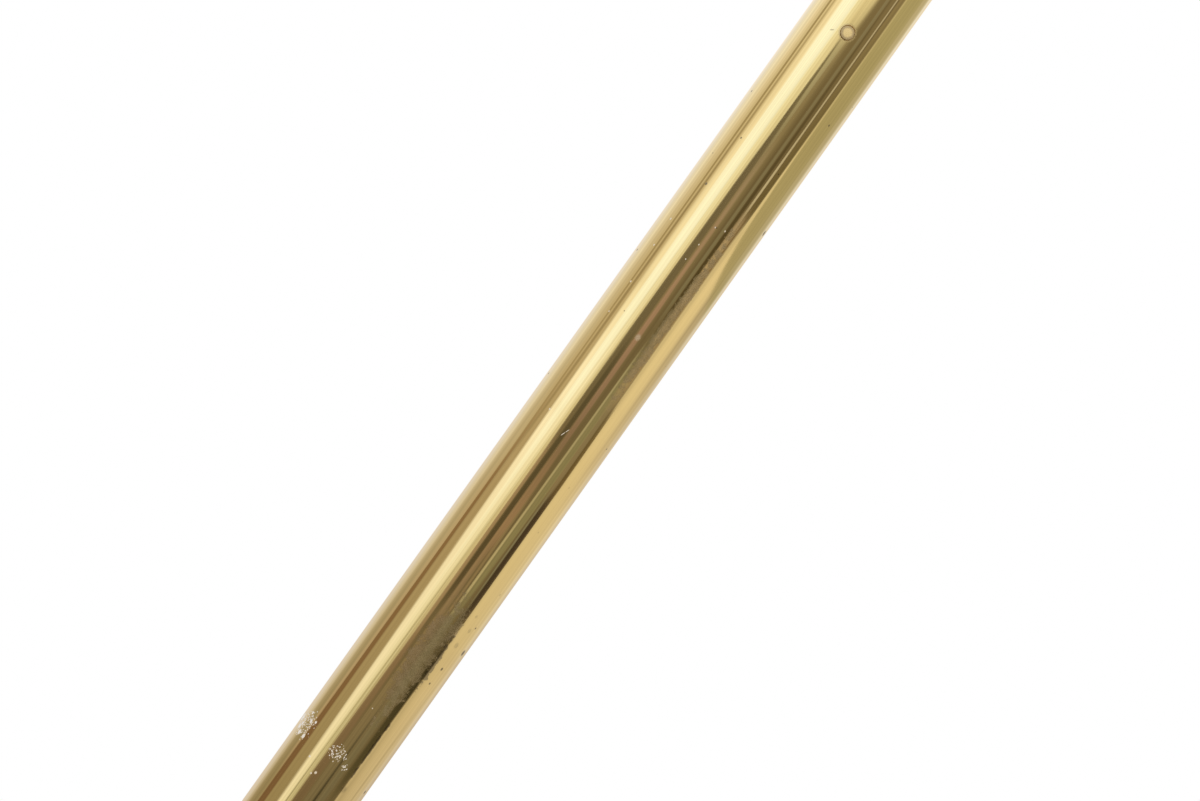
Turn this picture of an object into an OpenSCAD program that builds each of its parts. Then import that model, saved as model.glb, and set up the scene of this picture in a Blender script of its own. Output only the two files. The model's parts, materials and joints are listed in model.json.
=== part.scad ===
// Free-standing brass flag pole stand: a weighted round base, a socket with a
// thumb screw, and a brass tube pole in two push-together lengths whose upper
// length telescopes. Millimetres, +Z up the pole, origin on the floor below it.

/* [Base] */
// Outside diameter of the base across its rim bead
base_d = 280; // [250:2:320]
// Height from the floor to the top of the base shell
base_h = 76; // [66:1:90]
// Wall of the spun brass shell
shell_wall = 1.6; // [1:0.1:2.2]
// Clear height of the shell's rim above the floor
rim_lift = 3; // [2:0.5:4]
// Radius of the rolled bead along the rim
bead_r = 4; // [3:0.25:5]
// Width of the flat between the edge of the rim and the step
rim_w = 10; // [8:0.5:14]
// Rise of the step above the rim
step_rise = 4; // [3:0.5:6]
// Radius of the quarter round above the step
ovolo_r = 13; // [10:0.5:15]
// Width of the flat above the quarter round
fillet_w = 5; // [3:0.5:8]
// Rise of the flat above the quarter round
fillet_rise = 3; // [2:0.5:4]
// Diameter of the shell's flat top, where the socket sits
neck_d = 68; // [64:1:80]

/* [Ballast and feet] */
// Play between the cast iron weight and the shell over it
weight_gap = 0.3; // [0.2:0.05:0.4]
// Inside diameter of the hollow under the weight
hollow_in_d = 84; // [70:1:100]
// Outside diameter of the hollow under the weight
hollow_out_d = 184; // [150:1:190]
// Depth of the hollow under the weight
hollow_h = 14; // [8:0.5:16]
// Height of a rubber foot
foot_h = 7; // [6:0.5:9]
// Diameter of a rubber foot where it meets the weight
foot_d = 24; // [20:0.5:28]
// Taper of a foot's radius towards the floor
foot_taper = 2; // [0.5:0.25:3]
// Radius of the circle that the feet stand on
foot_circle_r = 110; // [105:1:112]
// Number of feet
foot_count = 4; // [3:1:6]
// Diameter of a foot screw
foot_screw_d = 4; // [3:0.5:5]
// Diameter of a foot screw's head
foot_head_d = 8.4; // [7:0.2:10]
// Height of a foot screw's head
foot_head_h = 2.3; // [1.6:0.1:2.6]
// Rubber left under a foot screw's head
foot_head_seat = 3.5; // [2.5:0.25:4]
// Length of a foot screw in the weight
foot_screw_bite = 10; // [8:0.5:14]

/* [Centre bolt] */
// Diameter of the bolt that draws the socket down
bolt_d = 10; // [8:0.5:12]
// Width across the flats of the bolt's head
bolt_flats = 17; // [15:0.5:19]
// Height of the bolt's head
bolt_head_h = 7; // [5:0.5:8]
// Diameter of the washer under the bolt's head
washer_d = 30; // [26:0.5:32]
// Thickness of the washer
washer_t = 2.5; // [1.5:0.25:3]
// Depth of the pocket for the bolt's head and washer
bolt_pocket_h = 19; // [16:0.5:20]
// Length of the bolt inside the socket's spigot
bolt_bite = 22; // [16:0.5:24]

/* [Socket] */
// Diameter of the socket's flange
flange_d = 62; // [54:1:64]
// Thickness of the socket's flange
flange_t = 4; // [3:0.25:6]
// Outside diameter of the socket's barrel
barrel_d = 36; // [33:0.5:40]
// Radius of the cove between flange and barrel
socket_cove_r = 10; // [6:0.5:11]
// Height of the socket's floor above the flange's underside
socket_floor = 10; // [8:0.5:14]
// Depth of the bore that holds the pole
socket_depth = 114; // [95:1:130]
// Radius of the rolled lip at the socket's mouth
lip_r = 3; // [2:0.25:3.5]
// Radius of the raised rings round the barrel
barrel_ring_r = 1.5; // [1:0.1:2]
// Height of the raised rings above the bore's floor
barrel_ring_h = 38; // [30:1:50]
// Diameter of the spigot below the flange
spigot_d = 30; // [26:0.5:32]
// Length of the spigot below the flange
spigot_len = 30; // [26:0.5:32]

/* [Pole tubes] */
// Outside diameter of the main tube
tube_d = 25.4; // [24:0.1:28]
// Wall of the main tube
tube_wall = 1.2; // [1:0.05:1.4]
// Length of the lower tube
lower_len = 631; // [500:1:760]
// Length of the upper tube
upper_len = 570; // [480:1:680]
// Outside diameter of the telescoping inner tube
inner_d = 19.05; // [17:0.05:19.4]
// Wall of the inner tube
inner_wall = 1.1; // [0.8:0.05:1.4]
// Length of inner tube that shows above the clamp collar when it is down
inner_show = 58; // [40:1:90]
// Thickness of the end plug's flange
plug_flange = 3; // [2:0.25:5]
// Length of the end plug inside the tube
plug_len = 18; // [12:0.5:26]

/* [Push-together joint] */
// Length of the coupler below the joint
coupler_below = 68; // [60:1:80]
// Length of the coupler above the joint
coupler_above = 70; // [56:1:90]
// Wall of the coupler
coupler_wall = 1.45; // [1.2:0.05:1.6]
// Distance from the joint down to the snap button
button_drop = 32; // [26:0.5:38]
// Diameter of the snap button
button_d = 3.7; // [3.4:0.1:4.6]
// Height of the snap button above the tube
button_proud = 0.15; // [0.1:0.05:0.8]
// Play round the snap button in its holes
button_gap = 0.13; // [0.1:0.01:0.2]
// Diameter of the flange that keeps the button in
button_flange_d = 6.4; // [5.6:0.1:7]
// Thickness of the button's flange
button_flange_t = 1.3; // [1:0.1:1.6]
// Thickness of the spring strip
spring_t = 0.6; // [0.4:0.05:0.8]
// Width of the spring strip
spring_w = 7.6; // [6:0.1:8]
// Length of the spring's legs
spring_len = 44; // [34:1:50]
// Radius of the bend at the spring's closed end
spring_bend_r = 4; // [3:0.25:4.5]
// Distance from the joint up to the coupler's rivets
rivet_rise = 45; // [38:1:52]
// Diameter of a coupler rivet
rivet_d = 4; // [3:0.2:5]
// Radius of the bead round the joint ring
joint_bead_r = 2; // [1.5:0.1:2.5]
// Height of the joint ring
joint_ring_h = 8; // [6:0.5:12]
// Wall of the joint ring
joint_ring_wall = 1.2; // [0.8:0.1:1.6]

/* [Clamp collar] */
// Outside diameter of the clamp collar
collar_d = 34; // [32:0.5:38]
// Length of the collar over the upper tube
collar_over = 26; // [22:0.5:32]
// Height of the collar above the guide bush
collar_above = 24; // [22:0.5:30]
// Radius of the collar's rounded shoulder
collar_round = 6; // [4:0.25:6.5]
// Radius of the grooves turned in the collar
groove_r = 0.8; // [0.5:0.1:1.1]
// Play between the collar's neck and the inner tube
collar_gap = 0.3; // [0.2:0.05:0.4]
// Diameter of the set screw that holds the collar
set_screw_d = 4; // [3:0.5:5]
// Length of the guide bush in the upper tube
guide_len = 28; // [22:0.5:36]
// Thickness of the guide bush's flange
guide_flange = 2; // [1.5:0.25:3]
// Length of the slide bush on the inner tube
slide_len = 28; // [22:0.5:36]
// Thickness of the lip under the inner tube
slide_lip = 3; // [2:0.25:4]
// Diameter of the pin through the slide bush
bush_pin_d = 3; // [2:0.2:4]
// Height of that pin above the slide bush's foot
bush_pin_rise = 17; // [12:0.5:18]

/* [Thumb screws] */
// Thread diameter of a thumb screw
screw_d = 6; // [5:0.5:7]
// Diameter of the boss that a thumb screw runs in
boss_d = 14; // [12:0.5:16]
// Height of the boss beyond the body that carries it
boss_out = 6; // [4:0.5:9]
// Gap between the boss and the screw's shoulder
screw_show = 3; // [2:0.25:5]
// Diameter of the shoulder under the thumb piece
shoulder_d = 11; // [9:0.5:13]
// Thickness of the shoulder
shoulder_t = 3; // [2:0.25:4]
// Diameter of the thumb piece
thumb_d = 20; // [16:0.5:24]
// Thickness of the thumb piece
thumb_t = 5; // [4:0.25:6]
// Depth of the thumb hollow in each face
thumb_dish = 1; // [0.4:0.1:1.2]
// Radius of the ball that the thumb hollows are cut with
dish_ball_r = 28; // [24:1:36]
// Width of the thumb piece where it meets the shoulder
thumb_root_w = 9; // [7:0.5:9]
// Length of the neck from the shoulder to the thumb piece's centre
thumb_neck = 10; // [9:0.5:14]
// Length of the soft pad ahead of a thumb screw
pad_len = 3; // [2:0.25:4]
// Diameter of a pad
pad_d = 5.2; // [4:0.1:5.6]
// Diameter of the stem that a screw turns on
stem_d = 2.4; // [1.6:0.1:2.8]
// Length of that stem
stem_len = 3.5; // [2:0.25:4]
// Gap between a pad and the tube it bears on
pad_gap = 0.3; // [0.2:0.05:0.4]
// Distance from the socket's mouth down to its thumb screw
socket_screw_drop = 24; // [18:0.5:32]
// Distance from the collar's top down to its thumb screw
collar_screw_drop = 14; // [12:0.5:15]

/* [Finial] */
// Length of the ferrule's spigot in the inner tube
ferrule_len = 28; // [20:1:40]
// Diameter of the ferrule's flange
ferrule_flange_d = 23; // [21:0.5:26]
// Height of the ferrule above the inner tube
ferrule_h = 25; // [22:0.5:30]
// Diameter of the ferrule's waist
ferrule_waist_d = 17; // [15:0.5:19]
// Thickness of the ferrule's flange and crown
ferrule_edge = 4; // [3:0.25:5]
// Diameter of the threaded stud inside the finial
stud_d = 8; // [6:0.5:9]
// Length of the stud in the ferrule
stud_low = 36; // [28:1:40]
// Length of the stud in the finial
stud_high = 13; // [10:0.5:15]
// Diameter of the finial's ball
ball_d = 27; // [24:0.5:32]
// Height of the ball above the ferrule
ball_h = 24; // [21:0.5:26]
// Diameter of the neck ring between ball and spear
neck_ring_d = 15; // [13:0.5:17]
// Thickness of the neck ring
neck_ring_t = 4; // [3:0.25:5]
// Width of the spear
spear_w = 44; // [36:1:52]
// Thickness of the spear
spear_t = 10; // [8:0.5:11]
// Thickness of the spear along its rim
spear_edge = 1.2; // [0.8:0.1:2]
// Height of the spear above its widest point
spear_up = 78; // [60:1:95]
// Height of the spear below its widest point
spear_down = 36; // [30:1:42]
// Height cut from the spear's point
spear_blunt = 2; // [1.5:0.25:3]
// Diameter of the flag tab stud's ball
tab_ball_d = 6; // [5:0.25:7.5]
// Diameter of the flag tab stud's shank
tab_shank_d = 3; // [2:0.25:4]
// Distance from the ferrule's waist to the tab stud's ball
tab_reach = 8; // [6:0.5:11]

/* [Fits] */
// Radial play between parts that slide or turn on each other
run_fit = 0.05; // [0.03:0.01:0.08]
// Radial play between parts that are fixed together
snug_fit = 0.05; // [0.03:0.01:0.08]

/* [Hidden] */
$fn = 96;
cut = 1;                       // how far a cutting shape runs past a face
base_r = base_d / 2;
bead_c_r = base_r - bead_r;
rim_z = rim_lift + 2 * bead_r;
step_r = base_r - rim_w;
step_z = rim_z + step_rise;
ovolo_c_r = step_r - ovolo_r;
ovolo_z = step_z + ovolo_r;
cove_r = ovolo_c_r - fillet_w;
cove_z = ovolo_z + fillet_rise;
cove_dr = cove_r - neck_d / 2;
cove_dz = base_h - cove_z;
cove_arc = (cove_dr * cove_dr + cove_dz * cove_dz) / (2 * cove_dz);

spigot_r = spigot_d / 2;
spigot_z = base_h - spigot_len;
spigot_rest = 0.5;             // play under the spigot, so that the flange seats first
bolt_seat_z = foot_h + bolt_pocket_h;
washer_z = bolt_seat_z - washer_t;
bolt_head_z = washer_z - bolt_head_h;
bolt_top_z = spigot_z + bolt_bite;
bolt_tap_run = 2;              // tapped depth beyond the bolt's end
bolt_tap_z = bolt_top_z + bolt_tap_run;
bolt_play = 0.5;               // radial play of the bolt through the weight and washer

tube_r = tube_d / 2;
tube_in_r = tube_r - tube_wall;
bore_r = tube_r + run_fit;
bore_z = base_h + socket_floor;
socket_z = bore_z + socket_depth;
barrel_r = barrel_d / 2;
socket_screw_z = socket_z - socket_screw_drop;

lower_z = bore_z + plug_flange;
joint_z = lower_z + lower_len;
button_z = joint_z - button_drop;
coupler_r = tube_in_r - snug_fit;
coupler_in_r = coupler_r - coupler_wall;
coupler_top = joint_z + coupler_above;
rivet_z = joint_z + rivet_rise;
rivet_tail = 0.8;              // length of a rivet's closed end inside the coupler
rivet_proud = 0.1;             // height of a rivet's head over the tube
button_r = button_d / 2;
button_hole_r = button_r + button_gap;
button_edge = 0.4;             // rounding of the button's face
button_face = tube_r + button_proud;
seat_play = 0.15;              // play of the button's flange and the spring inside the coupler
flange_seat = sqrt(pow(coupler_in_r, 2) - pow(button_flange_d / 2, 2)) - seat_play;
spring_seat = flange_seat - button_flange_t;
spring_back = sqrt(pow(coupler_in_r, 2) - pow(spring_w / 2, 2)) - seat_play;
spring_foot = 5;               // length of spring below the button's centre

upper_top = joint_z + upper_len;
guide_r = tube_in_r - snug_fit;
inner_r = inner_d / 2;
guide_in_r = inner_r + run_fit;
collar_r = collar_d / 2;
collar_in_r = tube_r + snug_fit;
collar_low = upper_top - collar_over;
collar_seat = upper_top + guide_flange;
collar_top = collar_seat + collar_above;
collar_neck_r = inner_r + collar_gap;
collar_screw_z = collar_top - collar_screw_drop;
set_screw_z = upper_top - collar_over / 2;
set_screw_key = 1.2;           // corner radius of the set screw's key socket
set_screw_key_h = 2;           // depth of that socket
set_screw_sink = 0.3;          // how far the set screw lies below the collar's face

slide_r = tube_in_r - 2 * run_fit;
inner_z = coupler_top + slide_lip;
inner_top = collar_top + inner_show;
inner_in_r = inner_r - inner_wall;
bush_pin_z = coupler_top + bush_pin_rise;
bush_pin_sink = 0.4;           // how far the pin's ends lie below the slide bush

ferrule_top = inner_top + ferrule_h;
waist_r = ferrule_waist_d / 2;
tab_z = inner_top + ferrule_h / 2;
stud_r = stud_d / 2;
ball_r = ball_d / 2;
ball_c = ferrule_top + sqrt(pow(ball_r, 2) - pow(waist_r, 2));
neck_z = ferrule_top + ball_h;
spear_c = neck_z + neck_ring_t + spear_down - spear_t / 2;

// A rectangle of the half section, from radius r0 to r1 and height z0 to z1
module band(r0, r1, z0, z1) {
    translate([r0, z0]) square([r1 - r0, z1 - z0]);
}

// A disc of the half section, for beads and coves
module round_at(r, z, radius) {
    translate([r, z]) circle(r = radius);
}

module tube(outer, inner, z0, z1) {
    rotate_extrude() band(inner, outer, z0, z1);
}

// Children built along +Z, laid along +X at a height
module facing_x(z) {
    translate([0, 0, z]) rotate([0, 90, 0]) children();
}

// Children built along +Z, laid along -Y at a height
module facing_front(z) {
    translate([0, 0, z]) rotate([90, 0, 0]) children();
}

module rod(radius, from, to) {
    translate([0, 0, from]) cylinder(r = radius, h = to - from);
}

// Children repeated at each foot
module at_feet() {
    for (i = [0 : foot_count - 1]) {
        rotate([0, 0, 45 + i * 360 / foot_count]) translate([foot_circle_r, 0, 0]) children();
    }
}

// Half section of the base: rim bead, step, quarter round and cove, drawn in by inset
module base_section(inset, bottom) {
    band(0, bead_c_r, bottom, rim_z - inset);
    round_at(bead_c_r, rim_lift + bead_r, bead_r - inset);
    band(0, step_r - inset, bottom, step_z - inset);
    band(0, ovolo_c_r, bottom, ovolo_z - inset);
    round_at(ovolo_c_r, step_z, ovolo_r - inset);
    band(0, cove_r - inset, bottom, cove_z - inset);
    difference() {
        band(0, cove_r - inset, bottom, base_h - inset);
        round_at(cove_r, cove_z + cove_arc, cove_arc + inset);
    }
}

module base_shell() color("goldenrod") {
    rotate_extrude() difference() {
        base_section(0, rim_lift);
        base_section(shell_wall, rim_lift - cut);
        band(0, spigot_r + snug_fit, rim_lift, base_h + cut);
    }
}

module base_weight() color("dimgray") {
    inset = shell_wall + weight_gap;
    difference() {
        rotate_extrude() difference() {
            intersection() {
                base_section(inset, foot_h);
                band(0, step_r - inset, foot_h, base_h);
            }
            band(hollow_in_d / 2, hollow_out_d / 2, foot_h - cut, foot_h + hollow_h);
            band(0, washer_d / 2 + cut, foot_h - cut, bolt_seat_z);
            band(0, bolt_d / 2 + bolt_play, foot_h, base_h);
            band(0, spigot_r + snug_fit, spigot_z - spigot_rest, base_h);
        }
        at_feet() rod(foot_screw_d / 2 + snug_fit, foot_h - cut, foot_h + foot_screw_bite + cut);
    }
}

module rubber_feet() color("black") at_feet() difference() {
    cylinder(r1 = foot_d / 2 - foot_taper, r2 = foot_d / 2, h = foot_h);
    rod(foot_screw_d / 2 + snug_fit, -cut, foot_h + cut);
    rod(foot_head_d / 2 + snug_fit, -cut, foot_head_seat);
}

module foot_screws() color("silver") at_feet() {
    rod(foot_head_d / 2, foot_head_seat - foot_head_h, foot_head_seat);
    rod(foot_screw_d / 2, foot_head_seat - foot_head_h, foot_h + foot_screw_bite);
}

module centre_bolt() color("silver") {
    translate([0, 0, bolt_head_z]) cylinder(r = bolt_flats / sqrt(3), h = bolt_head_h, $fn = 6);
    rod(bolt_d / 2, bolt_head_z, bolt_top_z);
}

module centre_washer() color("silver") tube(washer_d / 2, bolt_d / 2 + bolt_play, washer_z, bolt_seat_z);

// The boss on a socket or collar that a thumb screw runs in
module screw_boss(body_r, z) {
    facing_x(z) rod(boss_d / 2, 0, body_r + boss_out);
}

module screw_hole(body_r, z) {
    facing_x(z) rod(screw_d / 2 + run_fit, 0, body_r + boss_out + cut);
}

module socket() color("gold") difference() {
    union() {
        rotate_extrude() {
            band(0, flange_d / 2 - flange_t / 2, base_h, base_h + flange_t);
            round_at(flange_d / 2 - flange_t / 2, base_h + flange_t / 2, flange_t / 2);
            difference() {
                band(0, barrel_r + socket_cove_r, base_h, base_h + flange_t + socket_cove_r);
                round_at(barrel_r + socket_cove_r, base_h + flange_t + socket_cove_r, socket_cove_r);
            }
            band(0, barrel_r, base_h, socket_z);
            round_at(barrel_r, socket_z - lip_r, lip_r);
            for (side = [-1, 1]) {
                round_at(barrel_r, bore_z + barrel_ring_h + side * 2 * barrel_ring_r, barrel_ring_r);
            }
            band(0, spigot_r, spigot_z, base_h);
        }
        screw_boss(barrel_r, socket_screw_z);
    }
    rod(bore_r, bore_z, socket_z + cut);
    translate([0, 0, socket_z - lip_r / 2]) cylinder(r1 = bore_r, r2 = bore_r + lip_r, h = lip_r);
    rod(bolt_d / 2 + snug_fit, spigot_z - cut, bolt_tap_z);
    screw_hole(barrel_r, socket_screw_z);
}

// The soft pad ahead of a thumb screw, which slides while the screw turns on its stem
module screw_pad(bears_on, z) {
    face = bears_on + pad_gap;
    facing_x(z) {
        rod(pad_d / 2, face, face + pad_len);
        rod(stem_d / 2, face, face + pad_len + stem_len);
    }
}

module thumb_outline(shoulder) {
    centre = shoulder + shoulder_t + thumb_neck;
    translate([0, centre]) circle(d = thumb_d);
    polygon([
        [-thumb_root_w / 2, shoulder], [thumb_root_w / 2, shoulder],
        [thumb_d * 0.42, centre - thumb_d * 0.27], [-thumb_d * 0.42, centre - thumb_d * 0.27]
    ]);
}

// A spade-headed thumb screw that bears on a tube of one radius through a body of another
module thumb_screw(bears_on, body_r, z) {
    tip = bears_on + pad_gap + pad_len;
    shoulder = body_r + boss_out + screw_show;
    centre = shoulder + shoulder_t + thumb_neck;
    facing_x(z) difference() {
        union() {
            rod(screw_d / 2, tip, shoulder + shoulder_t);
            rod(shoulder_d / 2, shoulder, shoulder + shoulder_t);
            translate([0, thumb_t / 2, 0]) rotate([90, 0, 0]) linear_extrude(thumb_t) {
                thumb_outline(shoulder);
            }
        }
        rod(stem_d / 2 + run_fit, tip - cut, tip + stem_len + cut / 2);
        for (side = [-1, 1]) {
            translate([0, side * (thumb_t / 2 + dish_ball_r - thumb_dish), centre]) sphere(r = dish_ball_r);
        }
    }
}

module socket_screw_pad() color("ivory") screw_pad(tube_r, socket_screw_z);

module socket_thumb_screw() color("gold") thumb_screw(tube_r, barrel_r, socket_screw_z);

module lower_tube() color("goldenrod") difference() {
    tube(tube_r, tube_in_r, lower_z, joint_z);
    facing_front(button_z) rod(button_hole_r, 0, tube_r + cut);
}

module end_plug() color("black") {
    rod(tube_r - snug_fit, bore_z, lower_z);
    rod(tube_in_r - snug_fit, bore_z, lower_z + plug_len);
}

// Rivet positions on both sides of the joint, along X
module at_rivets(from, to, radius) {
    for (side = [0, 180]) {
        rotate([0, 0, side]) facing_x(rivet_z) rod(radius, from, to);
    }
}

module coupler() color("goldenrod") difference() {
    tube(coupler_r, coupler_in_r, joint_z - coupler_below, coupler_top);
    facing_front(button_z) rod(button_hole_r, 0, tube_r);
    at_rivets(0, tube_r, rivet_d / 2 + snug_fit);
}

module coupler_rivets() color("gold") {
    at_rivets(coupler_in_r - rivet_tail, tube_r + rivet_proud, rivet_d / 2);
}

module snap_button() color("gold") facing_front(button_z) {
    rotate_extrude() {
        band(0, button_r, spring_seat, button_face - button_edge);
        band(0, button_r - button_edge, spring_seat, button_face);
        round_at(button_r - button_edge, button_face - button_edge, button_edge);
    }
    rod(button_flange_d / 2, spring_seat, flange_seat);
}

// The spring filled in, drawn in by inset, as a slab: y towards the back, z up the pole
module spring_slab(inset, foot, width) {
    bend_r = spring_bend_r - inset;
    bend_z = spring_len - spring_bend_r;
    front = inset - spring_seat;
    back = spring_back - inset;
    translate([0, 0, -width / 2]) {
        linear_extrude(width) round_at(0, bend_z, bend_r);
        linear_extrude(width) polygon([
            [-bend_r, bend_z], [bend_r, bend_z], [back, spring_foot],
            [back, -foot], [front, -foot], [front, spring_foot]
        ]);
    }
}

module button_spring() color("silver") translate([0, 0, button_z]) rotate([90, 0, 90]) difference() {
    spring_slab(0, spring_foot, spring_w);
    spring_slab(spring_t, spring_foot + cut, spring_w + 2 * cut);
}

module joint_ring() color("gold") rotate_extrude() difference() {
    union() {
        band(tube_r, tube_r + snug_fit + joint_ring_wall, joint_z, joint_z + joint_ring_h);
        round_at(tube_r + joint_ring_wall, joint_z + joint_bead_r, joint_bead_r);
    }
    band(0, tube_r + snug_fit, joint_z - cut, joint_z + joint_ring_h + cut);
}

module upper_tube() color("goldenrod") difference() {
    tube(tube_r, tube_in_r, joint_z, upper_top);
    at_rivets(0, tube_r + cut, rivet_d / 2 + snug_fit);
}

module guide_bush() color("ivory") {
    tube(guide_r, guide_in_r, upper_top - guide_len, collar_seat);
    tube(tube_r, guide_in_r, upper_top, collar_seat);
}

module clamp_collar() color("gold") difference() {
    union() {
        rotate_extrude() difference() {
            union() {
                band(0, collar_r, collar_low, collar_top - collar_round);
                band(0, collar_r - collar_round, collar_low, collar_top);
                round_at(collar_r - collar_round, collar_top - collar_round, collar_round);
            }
            for (row = [1, 2]) {
                round_at(collar_r, collar_low + row * 4 * groove_r, groove_r);
            }
        }
        screw_boss(collar_r, collar_screw_z);
    }
    rod(collar_in_r, collar_low - cut, collar_seat);
    rod(collar_neck_r, collar_low, collar_top + cut);
    screw_hole(collar_r, collar_screw_z);
    rotate([0, 0, 180]) facing_x(set_screw_z) rod(set_screw_d / 2 + snug_fit, 0, collar_r + cut);
}

module collar_set_screw() color("dimgray") rotate([0, 0, 180]) facing_x(set_screw_z) difference() {
    rod(set_screw_d / 2, collar_in_r, collar_r - set_screw_sink);
    translate([0, 0, collar_r - set_screw_sink - set_screw_key_h]) {
        cylinder(r = set_screw_key, h = set_screw_key_h + cut, $fn = 6);
    }
}

module clamp_screw_pad() color("ivory") screw_pad(inner_r, collar_screw_z);

module clamp_thumb_screw() color("gold") thumb_screw(inner_r, collar_r, collar_screw_z);

// The pin through the slide bush and the inner tube, front to back
module bush_pin_hole(radius, reach) {
    translate([0, 0, bush_pin_z]) rotate([90, 0, 0]) rod(radius, -reach, reach);
}

module inner_tube() color("goldenrod") difference() {
    tube(inner_r, inner_in_r, inner_z, inner_top);
    bush_pin_hole(bush_pin_d / 2 + snug_fit, tube_r);
}

module slide_bush() color("ivory") difference() {
    union() {
        tube(slide_r, inner_r + snug_fit, coupler_top, coupler_top + slide_len);
        tube(slide_r, inner_in_r, coupler_top, inner_z);
    }
    bush_pin_hole(bush_pin_d / 2 + snug_fit, tube_r);
}

module bush_pin() color("silver") bush_pin_hole(bush_pin_d / 2, slide_r - bush_pin_sink);

module finial_ferrule() color("gold") difference() {
    rotate_extrude() {
        band(0, inner_in_r - snug_fit, inner_top - ferrule_len, inner_top);
        for (z = [inner_top, ferrule_top - ferrule_edge]) {
            band(0, ferrule_flange_d / 2 - ferrule_edge / 2, z, z + ferrule_edge);
            round_at(ferrule_flange_d / 2 - ferrule_edge / 2, z + ferrule_edge / 2, ferrule_edge / 2);
        }
        band(0, waist_r, inner_top, ferrule_top);
    }
    rod(stud_r + snug_fit, ferrule_top - stud_low - cut, ferrule_top + cut);
    rotate([0, 0, 180]) facing_x(tab_z) rod(tab_shank_d / 2 + snug_fit, stud_r + cut, waist_r + cut);
}

module finial_stud() color("silver") rod(stud_r, ferrule_top - stud_low, ferrule_top + stud_high);

// One side of the spear's leaf shape: width w at height 0, closing to a point at height h
module leaf(w, h) {
    arc = (h * h + w * w / 4) / w;
    intersection() {
        translate([arc - w / 2, 0]) circle(r = arc, $fn = 192);
        translate([w / 2 - arc, 0]) circle(r = arc, $fn = 192);
        translate([-w / 2, 0]) square([w, h]);
    }
}

module spear_blade() {
    sag = (spear_t - spear_edge) / 2;
    lens_arc = (spear_w * spear_w / 4 + sag * sag) / (2 * sag);
    lens_c = lens_arc - spear_t / 2;
    translate([0, 0, spear_c]) intersection() {
        translate([0, spear_t, 0]) rotate([90, 0, 0]) linear_extrude(2 * spear_t) {
            leaf(spear_w, spear_up);
            mirror([0, 1]) leaf(spear_w, spear_down);
        }
        translate([-spear_w, 0, 0]) rotate([90, 0, 90]) linear_extrude(2 * spear_w) {
            leaf(spear_t + spear_edge, spear_up);
            translate([-spear_t, -spear_down]) square([2 * spear_t, spear_down]);
        }
        translate([0, 0, -spear_down]) linear_extrude(spear_down + spear_up - spear_blunt) intersection() {
            translate([0, lens_c]) circle(r = lens_arc, $fn = 192);
            translate([0, -lens_c]) circle(r = lens_arc, $fn = 192);
        }
    }
}

module finial_spear() color("gold") difference() {
    union() {
        rotate_extrude() {
            intersection() {
                round_at(0, ball_c, ball_r);
                band(0, ball_r, ferrule_top, neck_z);
            }
            band(0, neck_ring_d / 2 - neck_ring_t / 2, neck_z - neck_ring_t / 2, neck_z + neck_ring_t);
            round_at(neck_ring_d / 2 - neck_ring_t / 2, neck_z + neck_ring_t / 2, neck_ring_t / 2);
        }
        spear_blade();
    }
    rod(stud_r + snug_fit, ferrule_top - cut, ferrule_top + stud_high + cut);
}

module flag_tab_stud() color("gold") rotate([0, 0, 180]) facing_x(tab_z) {
    rod(tab_shank_d / 2, stud_r + cut, waist_r + tab_reach);
    translate([0, 0, waist_r + tab_reach]) sphere(d = tab_ball_d);
}

base_shell();
base_weight();
rubber_feet();
foot_screws();
centre_bolt();
centre_washer();
socket();
socket_screw_pad();
socket_thumb_screw();
lower_tube();
end_plug();
coupler();
coupler_rivets();
snap_button();
button_spring();
joint_ring();
upper_tube();
guide_bush();
clamp_collar();
collar_set_screw();
clamp_screw_pad();
clamp_thumb_screw();
inner_tube();
slide_bush();
bush_pin();
finial_ferrule();
finial_stud();
finial_spear();
flag_tab_stud();
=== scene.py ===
import json
import math

import bpy
from mathutils import Matrix


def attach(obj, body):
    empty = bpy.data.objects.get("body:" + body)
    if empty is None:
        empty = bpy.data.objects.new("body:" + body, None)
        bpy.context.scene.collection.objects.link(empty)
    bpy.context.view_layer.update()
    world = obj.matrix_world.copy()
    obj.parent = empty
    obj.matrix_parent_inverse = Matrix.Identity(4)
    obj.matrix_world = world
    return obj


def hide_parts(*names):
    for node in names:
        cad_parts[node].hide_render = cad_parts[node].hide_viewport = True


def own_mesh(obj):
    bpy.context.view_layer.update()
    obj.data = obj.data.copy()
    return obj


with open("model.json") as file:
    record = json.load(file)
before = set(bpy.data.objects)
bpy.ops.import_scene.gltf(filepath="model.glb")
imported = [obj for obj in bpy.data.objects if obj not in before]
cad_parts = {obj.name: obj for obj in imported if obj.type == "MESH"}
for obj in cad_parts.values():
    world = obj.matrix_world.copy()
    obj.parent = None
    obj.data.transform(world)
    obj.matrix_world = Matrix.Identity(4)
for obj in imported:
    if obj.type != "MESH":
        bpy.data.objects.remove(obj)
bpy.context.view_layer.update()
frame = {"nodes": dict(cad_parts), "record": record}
nodes = frame["nodes"]

# Sizes of the pole in metres, as in the part
TUBE_R = 0.0127
TUBE_IN_R = 0.0115
LOWER_Z = 0.089
JOINT_Z = 0.720
UPPER_TOP = 1.290
INNER_R = 0.009525
INNER_IN_R = 0.008425
INNER_Z = 0.793
INNER_TOP = 1.374

# A millimetre, and heights up the stand in millimetres
MM = 0.001
BUTTON_UP = 688.0
RIVETS_UP = 765.0
SOCKET_SCREW_UP = 176.0
CLAMP_SCREW_UP = 1302.0
SET_SCREW_UP = 1277.0
TAB_UP = 1386.5

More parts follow.
